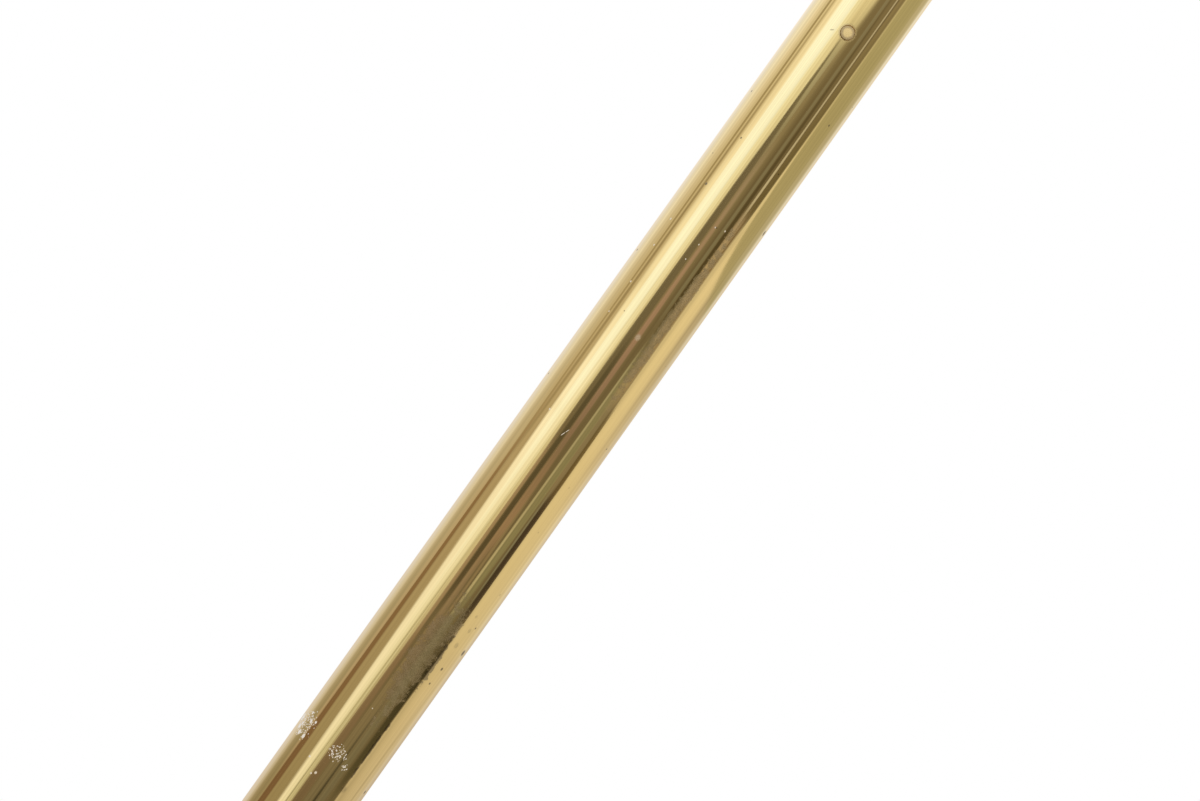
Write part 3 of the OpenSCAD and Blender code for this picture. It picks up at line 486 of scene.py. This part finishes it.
def lower_tube_wear_and_shade(t, colour, roughness):
    """The marks listed above, each on its own spot of the tube's front, and painted shade round the button's
    hole.
    """
    here = t.add("TexCoord").outputs["Object"]
    spot = t.add("Mapping", {
        "Vector": here, "Location": (0.0, 0.0, -1000.0 * VIEW_Z), "Rotation": (0.0, 0.0, -VIEW_TURN),
        "Scale": (1000.0,) * 3}).outputs[0]

    def on_tube(across, up):
        return (across, -math.sqrt((1000.0 * TUBE_R) ** 2 - across ** 2), up)

    def dots(places):
        return t.most([t.step(t.patch(spot, on_tube(x, z), (r, r, r * 1.3)), 1.0, 0.4) for x, z, r in places])

    def strokes(places):
        return t.most([
            t.step(t.patch(spot, on_tube(x, z), (wide, 1.0, tall), lean), 1.0, 0.5)
            for x, z, wide, tall, lean in places])

    def patches(places, frayed, start, end):
        return t.most([
            t.step(t.math("ADD", t.patch(spot, on_tube(x, z), (wide, wide, tall)), frayed), start, end)
            for x, z, wide, tall in places])

    ragged = t.line(t.noise(spot, 0.5, 5.0, 0.7), 0.25, 0.75, -0.6, 0.6)
    grain = t.noise(spot, 2.2, 5.0, 0.75)

    # painted shade: a ring of tube round the button's hole is darkened towards brown, and made duller
    button_spot = on_tube(-1000.0 * TUBE_R * math.sin(VIEW_TURN), BUTTON_UP - 1000.0 * VIEW_Z)
    painted_edge_shade = t.step(t.patch(spot, button_spot, (HOLE_SHADE_R,) * 3), 1.0, 0.8)
    colour = t.blend(t.math("MULTIPLY", painted_edge_shade, 0.3), colour, (0.46, 0.31, 0.14, 1.0))
    roughness = t.between(painted_edge_shade, roughness, 0.42)

    dull = t.math("MULTIPLY", patches(TARNISH, ragged, 1.05, 0.65), t.step(grain, 0.25, 0.65, 0.5, 1.0))
    stain = t.blend(t.step(ragged, -0.3, 0.3), (0.61, 0.44, 0.235, 1.0), (0.46, 0.335, 0.17, 1.0))
    colour = t.blend(t.math("MULTIPLY", dull, 0.8), colour, stain)
    roughness = t.between(dull, roughness, 0.27)

    uneven = t.line(t.noise(spot, 0.6, 3.0, 0.6), 0.3, 0.7, -0.7, 0.7)
    edges = patches(DARK_EDGES, uneven, 1.1, 0.7)
    colour = t.blend(t.math("MULTIPLY", edges, 0.7), colour, (0.20, 0.145, 0.08, 1.0))
    stains = t.math("MULTIPLY", dots(BROWN_STAINS), t.step(grain, 0.35, 0.60, 0.2, 0.7))
    colour = t.blend(stains, colour, (0.42, 0.30, 0.13, 1.0))
    pits = t.most([dots(DARK_PITS), t.math("MULTIPLY", strokes(DARK_STROKES), 0.6)])
    colour = t.blend(t.math("MULTIPLY", pits, 0.85), colour, (0.16, 0.115, 0.065, 1.0))
    roughness = t.between(pits, roughness, 0.5)

    long_cells = t.add("VectorMath", {0: spot, 1: (2.9, 2.9, 1.9)}, operation="MULTIPLY").outputs[0]
    far, picked = t.cells(long_cells, 1.0)
    chalk = []
    for x, z, radius in CHALK:
        density = t.step(t.patch(spot, on_tube(x, z), (radius,) * 3), 1.0, 0.3, 0.0, 0.95)
        chalk.append(t.math("LESS_THAN", picked, density))
    chalk = t.math("MULTIPLY", t.most(chalk), t.step(far, 0.58, 0.22, 0.0, 0.85))
    pale = t.most([
        chalk, t.math("MULTIPLY", dots(CHALK_SPOTS), 0.9), t.math("MULTIPLY", dots(PALE_NICKS), 0.6),
        t.math("MULTIPLY", dots(DULL_NICKS), 0.25),
        t.math("MULTIPLY", strokes(PALE_STROKES), 0.7)])
    colour = t.blend(pale, colour, (0.82, 0.78, 0.73, 1.0))
    roughness = t.between(pale, roughness, 0.6)
    return colour, roughness, t.between(pale, 1.0, 0.0)


def button_wear_and_shade(t, colour, roughness):
    """A rubbed, dull face, darkened towards its edge as painted shade."""
    here = t.add("TexCoord").outputs["Object"]
    spot = t.add("Mapping", {
        "Vector": here, "Location": (0.0, 0.0, -BUTTON_UP), "Scale": (1000.0,) * 3}).outputs[0]
    flat = t.add("VectorMath", {0: spot, 1: (1.0, 0.0, 1.0)}, operation="MULTIPLY").outputs[0]
    rim = t.add("VectorMath", {0: flat}, operation="LENGTH").outputs["Value"]
    uneven = t.line(t.noise(spot, 2.0, 3.0), 0.3, 0.7, -0.12, 0.12)
    # painted shade: the face is darkened towards its rim, and made rougher there
    painted_edge_shade = t.step(t.math("ADD", rim, uneven), 0.95, 1.50)
    colour = t.blend(painted_edge_shade, (0.76, 0.555, 0.24, 1.0), (0.44, 0.315, 0.145, 1.0))
    return colour, t.between(painted_edge_shade, 0.48, 0.6), 0.3


tube_brass = brass("tube_brass", marks=handled)
# the worn lower tube and the button below carry painted shade round the button
worn_shaded_tube_brass = brass("worn_shaded_tube_brass", 0.06, marks=lower_tube_wear_and_shade)
turned_brass = brass("turned_brass", 0.11, "turned", 0.05, handled)
spun_brass = brass("spun_brass", 0.12, "turned", 0.07, handled)
cast_brass = brass("cast_brass", 0.15, "cast", 0.06, handled)
button_brass = brass("button_brass", 0.34, "cast", 0.03, button_wear_and_shade)


def plain(name, colour, other, metal, rough, scale, bump_depth):
    """A finish with fine grain between two shades."""
    mat, t = material(name)
    grain = t.noise(t.place(), scale, 5.0, 0.6)
    shade = t.blend(t.step(grain, 0.35, 0.7), colour, other)
    bump = t.add("Bump", {"Strength": bump_depth, "Distance": 0.0004, "Height": grain}).outputs[0]
    roughness = t.line(grain, 0.3, 0.8, rough, rough + 0.12)
    shader = t.add("BsdfPrincipled", {
        "Base Color": shade, "Metallic": metal, "Roughness": roughness, "Normal": bump,
    })
    t.finish(shader.outputs[0])
    return mat


finishes = {
    "tube_brass": tube_brass,
    "turned_brass": turned_brass,
    "spun_brass": spun_brass,
    "button_brass": button_brass,
    "iron": plain("iron", (0.018, 0.018, 0.018, 1), (0.035, 0.033, 0.031, 1), 0.0, 0.55, 420.0, 0.6),
    "rubber": plain("rubber", (0.012, 0.012, 0.012, 1), (0.022, 0.021, 0.020, 1), 0.0, 0.62, 900.0, 0.25),
    "steel": plain("steel", (0.62, 0.62, 0.60, 1), (0.50, 0.50, 0.48, 1), 1.0, 0.26, 700.0, 0.15),
    "nylon": plain("nylon", (0.74, 0.72, 0.65, 1), (0.68, 0.65, 0.57, 1), 0.0, 0.45, 600.0, 0.1),
    "black_nylon": plain(
        "black_nylon", (0.015, 0.015, 0.015, 1), (0.024, 0.024, 0.024, 1), 0.0, 0.48, 600.0, 0.1),
}
slot_of = {p["node"]: p["material_slot"] for p in frame["record"]["subparts"]}
for name, obj in nodes.items():
    obj.data.materials.clear()
    obj.data.materials.append(finishes[slot_of[name]])


# Modelling helpers

# In degrees: edges flatter than the first are shaded smooth; turned edges sharper than the second, and square
# ones sharper than the third, are softened
SMOOTH_ANGLE = 28.0
TURNED_ANGLE = 25.0
SQUARE_ANGLE = 50.0
# In millimetres: how close a drawn round keeps to its arc, what counts as one point, and what as a sliver
ROUND_WITHIN = 0.01
ONE_POINT = 0.002
SLIVER = 0.0005


def only(obj):
    """Selects one object and makes it active."""
    bpy.ops.object.select_all(action="DESELECT")
    obj.select_set(True)
    bpy.context.view_layer.objects.active = obj
    return obj


def done(obj, name, body, replaced, slot, finish=None):
    """Names a finished piece, lets it ride on its body and stand for its CAD nodes."""
    obj.name = name
    obj.data.name = name
    only(obj)
    bpy.ops.object.transform_apply(location=True, rotation=True, scale=True)
    bpy.ops.object.shade_smooth_by_angle(angle=math.radians(SMOOTH_ANGLE))
    obj.data.materials.clear()
    obj.data.materials.append(finish or finishes[slot])
    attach(obj, body)
    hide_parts(*replaced)
    return obj


def fresh(operator, **settings):
    """Adds a primitive with nothing else selected, and puts its place into its mesh."""
    bpy.ops.object.select_all(action="DESELECT")
    operator(**settings)
    bpy.ops.object.transform_apply(location=True, rotation=True, scale=True)
    return bpy.context.active_object


def modify(obj, kind, **settings):
    """Adds a modifier and applies it."""
    only(obj)
    modifier = obj.modifiers.new(kind.lower(), kind)
    for key, value in settings.items():
        setattr(modifier, key, value)
    bpy.ops.object.modifier_apply(modifier=modifier.name)
    return obj


def soften(obj, width, segments=3, angle=SQUARE_ANGLE):
    """Rounds the edges that are sharper than an angle; width in mm."""
    return modify(
        obj, "BEVEL", width=width * MM, segments=segments, limit_method="ANGLE",
        angle_limit=math.radians(angle))


def combine(obj, other, operation):
    """Joins, cuts or meets two solids, and clears the slivers that leaves."""
    modify(obj, "BOOLEAN", operation=operation, solver="EXACT", object=other)
    bpy.data.objects.remove(other)
    bpy.ops.object.mode_set(mode="EDIT")
    bpy.ops.mesh.select_all(action="SELECT")
    bpy.ops.mesh.dissolve_degenerate(threshold=SLIVER * MM)
    bpy.ops.object.mode_set(mode="OBJECT")
    return obj


def cut(obj, other):
    """Cuts one solid out of another."""
    return combine(obj, other, "DIFFERENCE")


def fuse(obj, other):
    """Joins two solids into one."""
    return combine(obj, other, "UNION")


def shift(obj, x=0.0, y=0.0, z=0.0):
    """Moves a piece, in mm."""
    obj.location = (x * MM, y * MM, z * MM)
    only(obj)
    bpy.ops.object.transform_apply(location=True, rotation=True, scale=True)
    return obj


def lay(obj, towards, z):
    """Turns a piece made up the Z axis to point along X or Y, at a height in mm."""
    axis, amount = {"+x": (1, 0.5), "-x": (1, -0.5), "+y": (0, -0.5), "-y": (0, 0.5)}[towards]
    obj.rotation_euler[axis] = amount * math.pi
    return shift(obj, z=z)


def draw(section):
    """A line in the XZ plane, in mm: points (x, z), and rounds (x and z of the middle, sweep in degrees)."""
    obj = fresh(bpy.ops.mesh.primitive_plane_add, size=MM)
    bpy.ops.object.mode_set(mode="EDIT")
    bpy.ops.mesh.select_all(action="SELECT")
    bpy.ops.mesh.merge(type="CENTER")
    x, z = section[0]
    bpy.ops.transform.translate(value=(x * MM, 0.0, z * MM))
    for step in section[1:]:
        if len(step) == 2:
            bpy.ops.mesh.extrude_region_move(
                TRANSFORM_OT_translate={"value": ((step[0] - x) * MM, 0.0, (step[1] - z) * MM)})
            x, z = step
            continue
        sweep = math.radians(step[2])
        across, up = x - step[0], z - step[1]
        facet = 2.0 * math.acos(1.0 - ROUND_WITHIN / math.hypot(across, up))
        steps = max(4, math.ceil(abs(sweep) / facet))
        middle = (step[0] * MM, 0.0, step[1] * MM)
        bpy.ops.mesh.spin(steps=steps, angle=sweep, center=middle, axis=(0.0, 1.0, 0.0))
        x = step[0] + across * math.cos(sweep) - up * math.sin(sweep)
        z = step[1] + across * math.sin(sweep) + up * math.cos(sweep)
    bpy.ops.mesh.select_all(action="SELECT")
    return obj


def spun(section, steps=192):
    """A surface turned about the Z axis from its half section."""
    obj = draw(section)
    bpy.ops.mesh.spin(steps=steps, angle=2.0 * math.pi, center=(0, 0, 0), axis=(0, 0, 1))
    bpy.ops.mesh.select_all(action="SELECT")
    bpy.ops.mesh.remove_doubles(threshold=ONE_POINT * MM)
    bpy.ops.mesh.normals_make_consistent(inside=False)
    bpy.ops.object.mode_set(mode="OBJECT")
    return obj


def turned(section, soft=0.3, steps=192):
    """A solid turned about the Z axis, with its sharp edges softened; sizes in mm."""
    return soften(spun(section, steps), soft, 3, TURNED_ANGLE)


def rod(radius, low, high, sides=96):
    """A plain rod up the Z axis, in mm."""
    return fresh(
        bpy.ops.mesh.primitive_cylinder_add, vertices=sides, radius=radius * MM, depth=(high - low) * MM,
        location=(0, 0, (low + high) / 2 * MM))


def tube(radius, inner, low, high, sides=512):
    """An open tube up the Z axis, in metres."""
    obj = fresh(
        bpy.ops.mesh.primitive_cylinder_add, vertices=sides, radius=radius, depth=high - low,
        end_fill_type="NOTHING", location=(0, 0, (low + high) / 2))
    return modify(obj, "SOLIDIFY", thickness=radius - inner, offset=-1.0)


# Pole tubes, with the snap button's hole and the rivets' holes
BUTTON_HOLE_R = 1.88
RIVET_HOLE_R = 2.05

lower = tube(TUBE_R, TUBE_IN_R, LOWER_Z, JOINT_Z)
hole = spun([(0, 8.0), (BUTTON_HOLE_R, 8.0), (BUTTON_HOLE_R, 12.5), (4.8, 15.4), (0, 15.4)], 96)
cut(lower, lay(hole, "-y", BUTTON_UP))
done(lower, "pole_lower", "mast", ["lower_tube"], "tube_brass", worn_shaded_tube_brass)

upper = tube(TUBE_R, TUBE_IN_R, JOINT_Z, UPPER_TOP)
cut(upper, lay(rod(RIVET_HOLE_R, -20.0, 20.0), "+x", RIVETS_UP))
done(upper, "pole_upper", "mast", ["upper_tube"], "tube_brass")
done(tube(INNER_R, INNER_IN_R, INNER_Z, INNER_TOP), "pole_inner", "top_mast", ["inner_tube"], "tube_brass")

button = turned([
    (0, 8.02), (3.2, 8.02), (3.2, 9.32), (1.85, 9.32), (1.85, 12.45), (1.45, 12.45, 90), (0, 12.85)], 0.1, 96)
done(lay(button, "-y", BUTTON_UP), "button", "button", ["snap_button"], "button_brass")

# Bent strip behind the button
STRIP_BACK = 9.1
STRIP_WIDE = 7.6
STRIP_THICK = 0.6
spring = draw([(-8.02, 683), (-8.02, 693), (-4, 728), (0, 728, -180), (STRIP_BACK, 693), (STRIP_BACK, 683)])
bpy.ops.mesh.extrude_region_move(TRANSFORM_OT_translate={"value": (0, STRIP_WIDE * MM, 0)})
bpy.ops.mesh.select_all(action="SELECT")
bpy.ops.mesh.normals_make_consistent(inside=False)
bpy.ops.object.mode_set(mode="OBJECT")
modify(shift(spring, y=-STRIP_WIDE / 2), "SOLIDIFY", thickness=STRIP_THICK * MM, offset=-1.0)
spring.rotation_euler[2] = math.pi / 2
done(soften(shift(spring), 0.12, 2), "button_strip", "mast", ["button_spring"], "steel")
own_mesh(spring)

rivet_section = [(0, 9.2), (2.0, 9.2), (2.0, 12.4), (1.6, 12.7), (1.0, 12.78), (0, 12.8)]
rivets = lay(turned(rivet_section, 0.1, 64), "+x", RIVETS_UP)
fuse(rivets, lay(turned(rivet_section, 0.1, 64), "-x", RIVETS_UP))
done(rivets, "joint_rivets", "mast", ["coupler_rivets"], "turned_brass")

ring = turned([
    (12.75, 720), (13.9, 720), (13.9, 722, 180), (13.95, 724), (13.95, 728), (12.75, 728), (12.75, 720)], 0.2)
done(ring, "joint_band", "mast", ["joint_ring"], "turned_brass")


# Base: spun shell with a rolled rim, a step, a quarter round and a long cove
SHELL_WALL = 1.6
BOLT_FLATS = 17.0
FOOT_CIRCLE = 110.0

shell = spun([
    (135.94, 3), (135.94, 7, 180), (130, 11), (130, 15), (117, 15, 90), (112, 28), (112, 31),
    (112, 121.1, -59.96), (15.05, 76)], 256)
soften(shell, 0.6, 3, TURNED_ANGLE)
modify(shell, "SOLIDIFY", thickness=SHELL_WALL * MM, offset=-1.0)
done(shell, "base_cover", "base", ["base_shell"], "spun_brass")

weight = turned([
    (128.1, 7), (128.1, 15), (117, 15, 90), (110.1, 26.1), (110.1, 29.12), (112, 121.1, -58.09),
    (15.05, 74.1), (15.05, 45.5), (5.5, 45.5), (5.5, 26), (16, 26), (16, 7), (42, 7), (42, 21), (92, 21),
    (92, 7), (128.1, 7)], 0.9)
done(weight, "base_ballast", "base", ["base_weight"], "iron")

bolt = rod(BOLT_FLATS / math.sqrt(3.0), 16.5, 23.5, 6)
bolt.rotation_euler[2] = math.radians(30.0)
combine(shift(bolt), spun([(0, 16.0), (7.6, 16.0), (10.9, 17.9), (10.9, 24.0), (0, 24.0)], 96), "INTERSECT")
fuse(bolt, rod(5.0, 20.0, 68.0))
done(bolt, "hold_down_bolt", "base", ["centre_bolt"], "steel")
washer = turned([(5.5, 23.5), (15, 23.5), (15, 26), (5.5, 26), (5.5, 23.5)], 0.35, 96)
done(washer, "hold_down_washer", "base", ["centre_washer"], "steel")

foot = turned([(4.25, 0), (10, 0), (12, 7), (2.05, 7), (2.05, 3.5), (4.25, 3.5), (4.25, 0)], 0.8, 96)
foot_screw = turned(
    [(0, 1.2), (3.4, 1.2), (4.2, 2.0), (4.2, 3.5), (2.0, 3.5), (2.0, 17.0), (0, 17.0)], 0.15, 64)
slot_block = fresh(
    bpy.ops.mesh.primitive_cube_add, size=1.0, scale=(10 * MM, 1.1 * MM, 2 * MM), location=(0, 0, 1.2 * MM))
cut(foot_screw, slot_block)
for piece, name, node, slot in (
        (foot, "feet", "rubber_feet", "rubber"),
        (foot_screw, "feet_screws", "foot_screws", "steel")):
    for i in range(4):
        turn = math.radians(45.0 + 90.0 * i)
        copy = piece.copy()
        copy.data = piece.data.copy()
        bpy.context.scene.collection.objects.link(copy)
        shift(copy, FOOT_CIRCLE * math.cos(turn), FOOT_CIRCLE * math.sin(turn))
        done(copy, "%s_%d" % (name, i + 1), "base", [node], slot)
    bpy.data.objects.remove(piece)


# Socket and clamp collar, each with a boss for its thumb screw
BOSS_R = 7.0
BOSS_HOLE_R = 3.05
SET_SCREW_HOLE_R = 2.05


def add_boss(body, start, reach, z):
    """A round boss towards X with a hole for the screw, at a height in mm."""
    boss = soften(rod(BOSS_R, start, reach), 0.7, 4)
    fuse(body, lay(boss, "+x", z))
    cut(body, lay(rod(BOSS_HOLE_R, start - 8.0, reach + 1.0), "+x", z))
    return body


socket = turned([
    (0, 86), (12.75, 86), (12.75, 198.5), (14.25, 200), (18, 200), (18, 197, -180), (18, 128.5),
    (18, 127, -180), (18, 122.5), (18, 121, -180), (18, 90), (28, 90, 90), (29, 80), (29, 78, -180), (15, 76),
    (15, 46), (5.05, 46), (5.05, 70), (0, 70)], 0.25)
done(add_boss(socket, 14.0, 24.0, SOCKET_SCREW_UP), "pole_socket", "base", ["socket"], "turned_brass")

collar = turned([
    (12.75, 1264), (17, 1264), (17, 1266.4), (17, 1267.2, -180), (17, 1269.6), (17, 1270.4, -180),
    (17, 1310), (11, 1310, 90), (9.825, 1316), (9.825, 1292), (12.75, 1292), (12.75, 1264)], 0.25)
add_boss(collar, 13.0, 23.0, CLAMP_SCREW_UP)
cut(collar, lay(rod(SET_SCREW_HOLE_R, 10.0, 20.0), "-x", SET_SCREW_UP))
done(collar, "pole_clamp", "mast", ["clamp_collar"], "turned_brass")

grub = cut(soften(rod(2.0, 12.75, 16.7, 64), 0.25), rod(1.2, 14.7, 18.0, 6))
done(lay(grub, "-x", SET_SCREW_UP), "clamp_grub_screw", "mast", ["collar_set_screw"], "steel")


# Thumb screws: a threaded shank, a shoulder and a dished spade, in mm
THREAD_R = 3.0
THREAD_ROOT_R = 2.45
SPADE_UP = 13.0
SPADE_HALF = 8.4
SPADE_DROP = 5.4
SPADE_NECK = 4.5
SPADE_THICK = 5.0


def thumb_screw(tip, shoulder, z):
    """A thumb screw towards X at a height, its tip and its shoulder so far from the pole's axis."""
    turns = int(shoulder - tip)
    pitch = (shoulder - tip) / turns
    thread = []
    for i in range(turns):
        thread += [
            (THREAD_R, tip + (i + 0.06) * pitch), (THREAD_R, tip + (i + 0.18) * pitch),
            (THREAD_ROOT_R, tip + (i + 0.62) * pitch)]
    end = [(0, tip + 4), (1.25, tip + 4), (1.25, tip), (2.5, tip)]
    head = [
        (2.6, shoulder), (5.2, shoulder), (5.5, shoulder + 0.3), (5.5, shoulder + 2.4), (4.9, shoulder + 3),
        (0, shoulder + 3)]
    shank = spun(end + thread + head, 64)
    centre = shoulder + SPADE_UP
    sweep = 180.0 + 2.0 * math.degrees(math.atan2(SPADE_DROP, SPADE_HALF))
    spade = draw([
        (SPADE_NECK, shoulder), (SPADE_HALF, centre - SPADE_DROP), (0, centre, sweep),
        (-SPADE_NECK, shoulder)])
    bpy.ops.mesh.edge_face_add()
    bpy.ops.mesh.extrude_region_move(TRANSFORM_OT_translate={"value": (0, SPADE_THICK * MM, 0)})
    bpy.ops.mesh.select_all(action="SELECT")
    bpy.ops.mesh.normals_make_consistent(inside=False)
    bpy.ops.object.mode_set(mode="OBJECT")
    soften(shift(spade, y=-SPADE_THICK / 2), 1.1, 4)
    for side in ("+y", "-y"):
        cut(spade, lay(spun([(0, 1.5), (0, 29.5, 19), (9.1, 6), (0, 6)], 96), side, centre))
    return lay(fuse(shank, spade), "+x", z)


socket_screw = thumb_screw(16.0, 27.0, SOCKET_SCREW_UP)
done(socket_screw, "socket_screw_spade", "socket_screw", ["socket_thumb_screw"], "turned_brass", cast_brass)
clamp_screw = thumb_screw(12.825, 26.0, CLAMP_SCREW_UP)
done(clamp_screw, "clamp_screw_spade", "clamp_screw", ["clamp_thumb_screw"], "turned_brass", cast_brass)


# Finial: ferrule, ball and spear

ferrule = turned([
    (0, 1346), (8.375, 1346), (8.375, 1374), (9.5, 1374), (9.5, 1376, 180), (8.5, 1378), (8.5, 1395),
    (9.5, 1395), (9.5, 1397, 180), (4.05, 1399), (4.05, 1362), (0, 1362)], 0.3)
cut(ferrule, lay(rod(1.55, 5.0, 12.0), "-x", TAB_UP))
done(ferrule, "top_ferrule", "top_mast", ["finial_ferrule"], "turned_brass")

# The spear, in mm: its foot and its widest point, half its width, how far its curves run up and down from
# there, where its tip is cut, half its thickness, and the curve by which that thins towards the tip
SPEAR_FOOT = 1424.0
SPEAR_C = 1458.0
SPEAR_HALF = 22.0
SPEAR_UP = 78.0
SPEAR_DOWN = 36.0
SPEAR_CUT = 75.6
SPEAR_THICK = 5.0
SPEAR_THIN = 5.6
# Its section is a lens: the radius of its two faces, how far their axes lie from its middle, how deep its
# first slice is, how many sides a full round would have, and how many levels it is drawn up by
LENS_R = 57.2
LENS_OFF = 52.2
LENS_DEEP = 0.5
LENS_SIDES = 640
LOW_LEVELS = 24
HIGH_LEVELS = 48


def leaf_half(half, reach, height):
    """Half width of a leaf shape at a height from its widest point."""
    radius = (half ** 2 + reach ** 2) / (2.0 * half)
    return math.sqrt(radius ** 2 - height ** 2) - (radius - half)


def spear_size(z):
    """Half width and half thickness of the spear at a height."""
    if z < SPEAR_C:
        return leaf_half(SPEAR_HALF, SPEAR_DOWN, SPEAR_C - z), SPEAR_THICK
    half = leaf_half(SPEAR_HALF, SPEAR_UP, z - SPEAR_C)
    return half, min(SPEAR_THICK, leaf_half(SPEAR_THIN, SPEAR_UP, z - SPEAR_C))


def fit_section(z, wide, thick):
    """Resizes what is selected to the spear's section at a height, from a section of another size."""
    half, thin = spear_size(z)
    bpy.ops.transform.resize(value=(half / wide, thin / thick, 1.0), center_override=(0, 0, z * MM))
    return half, thin


# A thin lens, whose top is drawn up from level to level
levels = [SPEAR_FOOT + (SPEAR_C - SPEAR_FOOT) * i / LOW_LEVELS for i in range(LOW_LEVELS)]
levels += [SPEAR_C + SPEAR_CUT * i / HIGH_LEVELS for i in range(HIGH_LEVELS + 1)]
spear = shift(rod(LENS_R, SPEAR_FOOT - LENS_DEEP, SPEAR_FOOT, LENS_SIDES), y=LENS_OFF)
back_face = shift(rod(LENS_R, SPEAR_FOOT - LENS_DEEP, SPEAR_FOOT, LENS_SIDES), y=-LENS_OFF)
combine(spear, back_face, "INTERSECT")
only(spear)
bpy.ops.object.mode_set(mode="EDIT")
bpy.ops.mesh.select_mode(type="FACE")
bpy.ops.mesh.select_all(action="SELECT")
wide, thick = fit_section(SPEAR_FOOT, math.sqrt(LENS_R ** 2 - LENS_OFF ** 2), SPEAR_THICK)
bpy.ops.mesh.select_all(action="DESELECT")
bpy.ops.object.mode_set(mode="OBJECT")
for polygon in spear.data.polygons:
    polygon.select = polygon.normal.z > 0.9
bpy.ops.object.mode_set(mode="EDIT")
for last, z in zip(levels, levels[1:]):
    bpy.ops.mesh.extrude_region_move(TRANSFORM_OT_translate={"value": (0, 0, (z - last) * MM)})
    wide, thick = fit_section(z, wide, thick)
bpy.ops.mesh.select_mode(type="VERT")
bpy.ops.object.mode_set(mode="OBJECT")
soften(spear, 0.5)

ball = turned([
    (0, 1412), (4.05, 1412), (4.05, 1399), (8.5, 1399), (0, 1409.49, 116.95), (5.5, 1423), (5.5, 1425, 180),
    (0, 1427)], 0.2)
done(fuse(ball, spear), "spear_top", "top_mast", ["finial_spear"], "turned_brass")

tab = turned([(0, 5), (1.5, 5), (1.5, 13.9), (0, 16.5, 150)], 0.1, 64)
done(lay(tab, "-x", TAB_UP), "flag_tab", "top_mast", ["flag_tab_stud"], "turned_brass")

# Camera, square on to the pole and rolled so that the pole leans

camera_data = bpy.data.cameras.new("camera")
camera_data.lens = 85.0
camera_data.sensor_width = 36.0
camera_data.clip_start = 0.01
camera = bpy.data.objects.new("camera", camera_data)
bpy.context.scene.collection.objects.link(camera)
lean_c, lean_s = math.cos(LEAN), math.sin(LEAN)
camera.matrix_world = Matrix.Rotation(VIEW_TURN, 4, "Z") @ Matrix((
    (lean_c, -lean_s, 0.0, VIEW_X),
    (0.0, 0.0, -1.0, -VIEW_FAR),
    (lean_s, lean_c, 0.0, VIEW_Z),
    (0.0, 0.0, 0.0, 1.0),
))
bpy.context.scene.camera = camera
bpy.context.scene.view_settings.view_transform = "Standard"
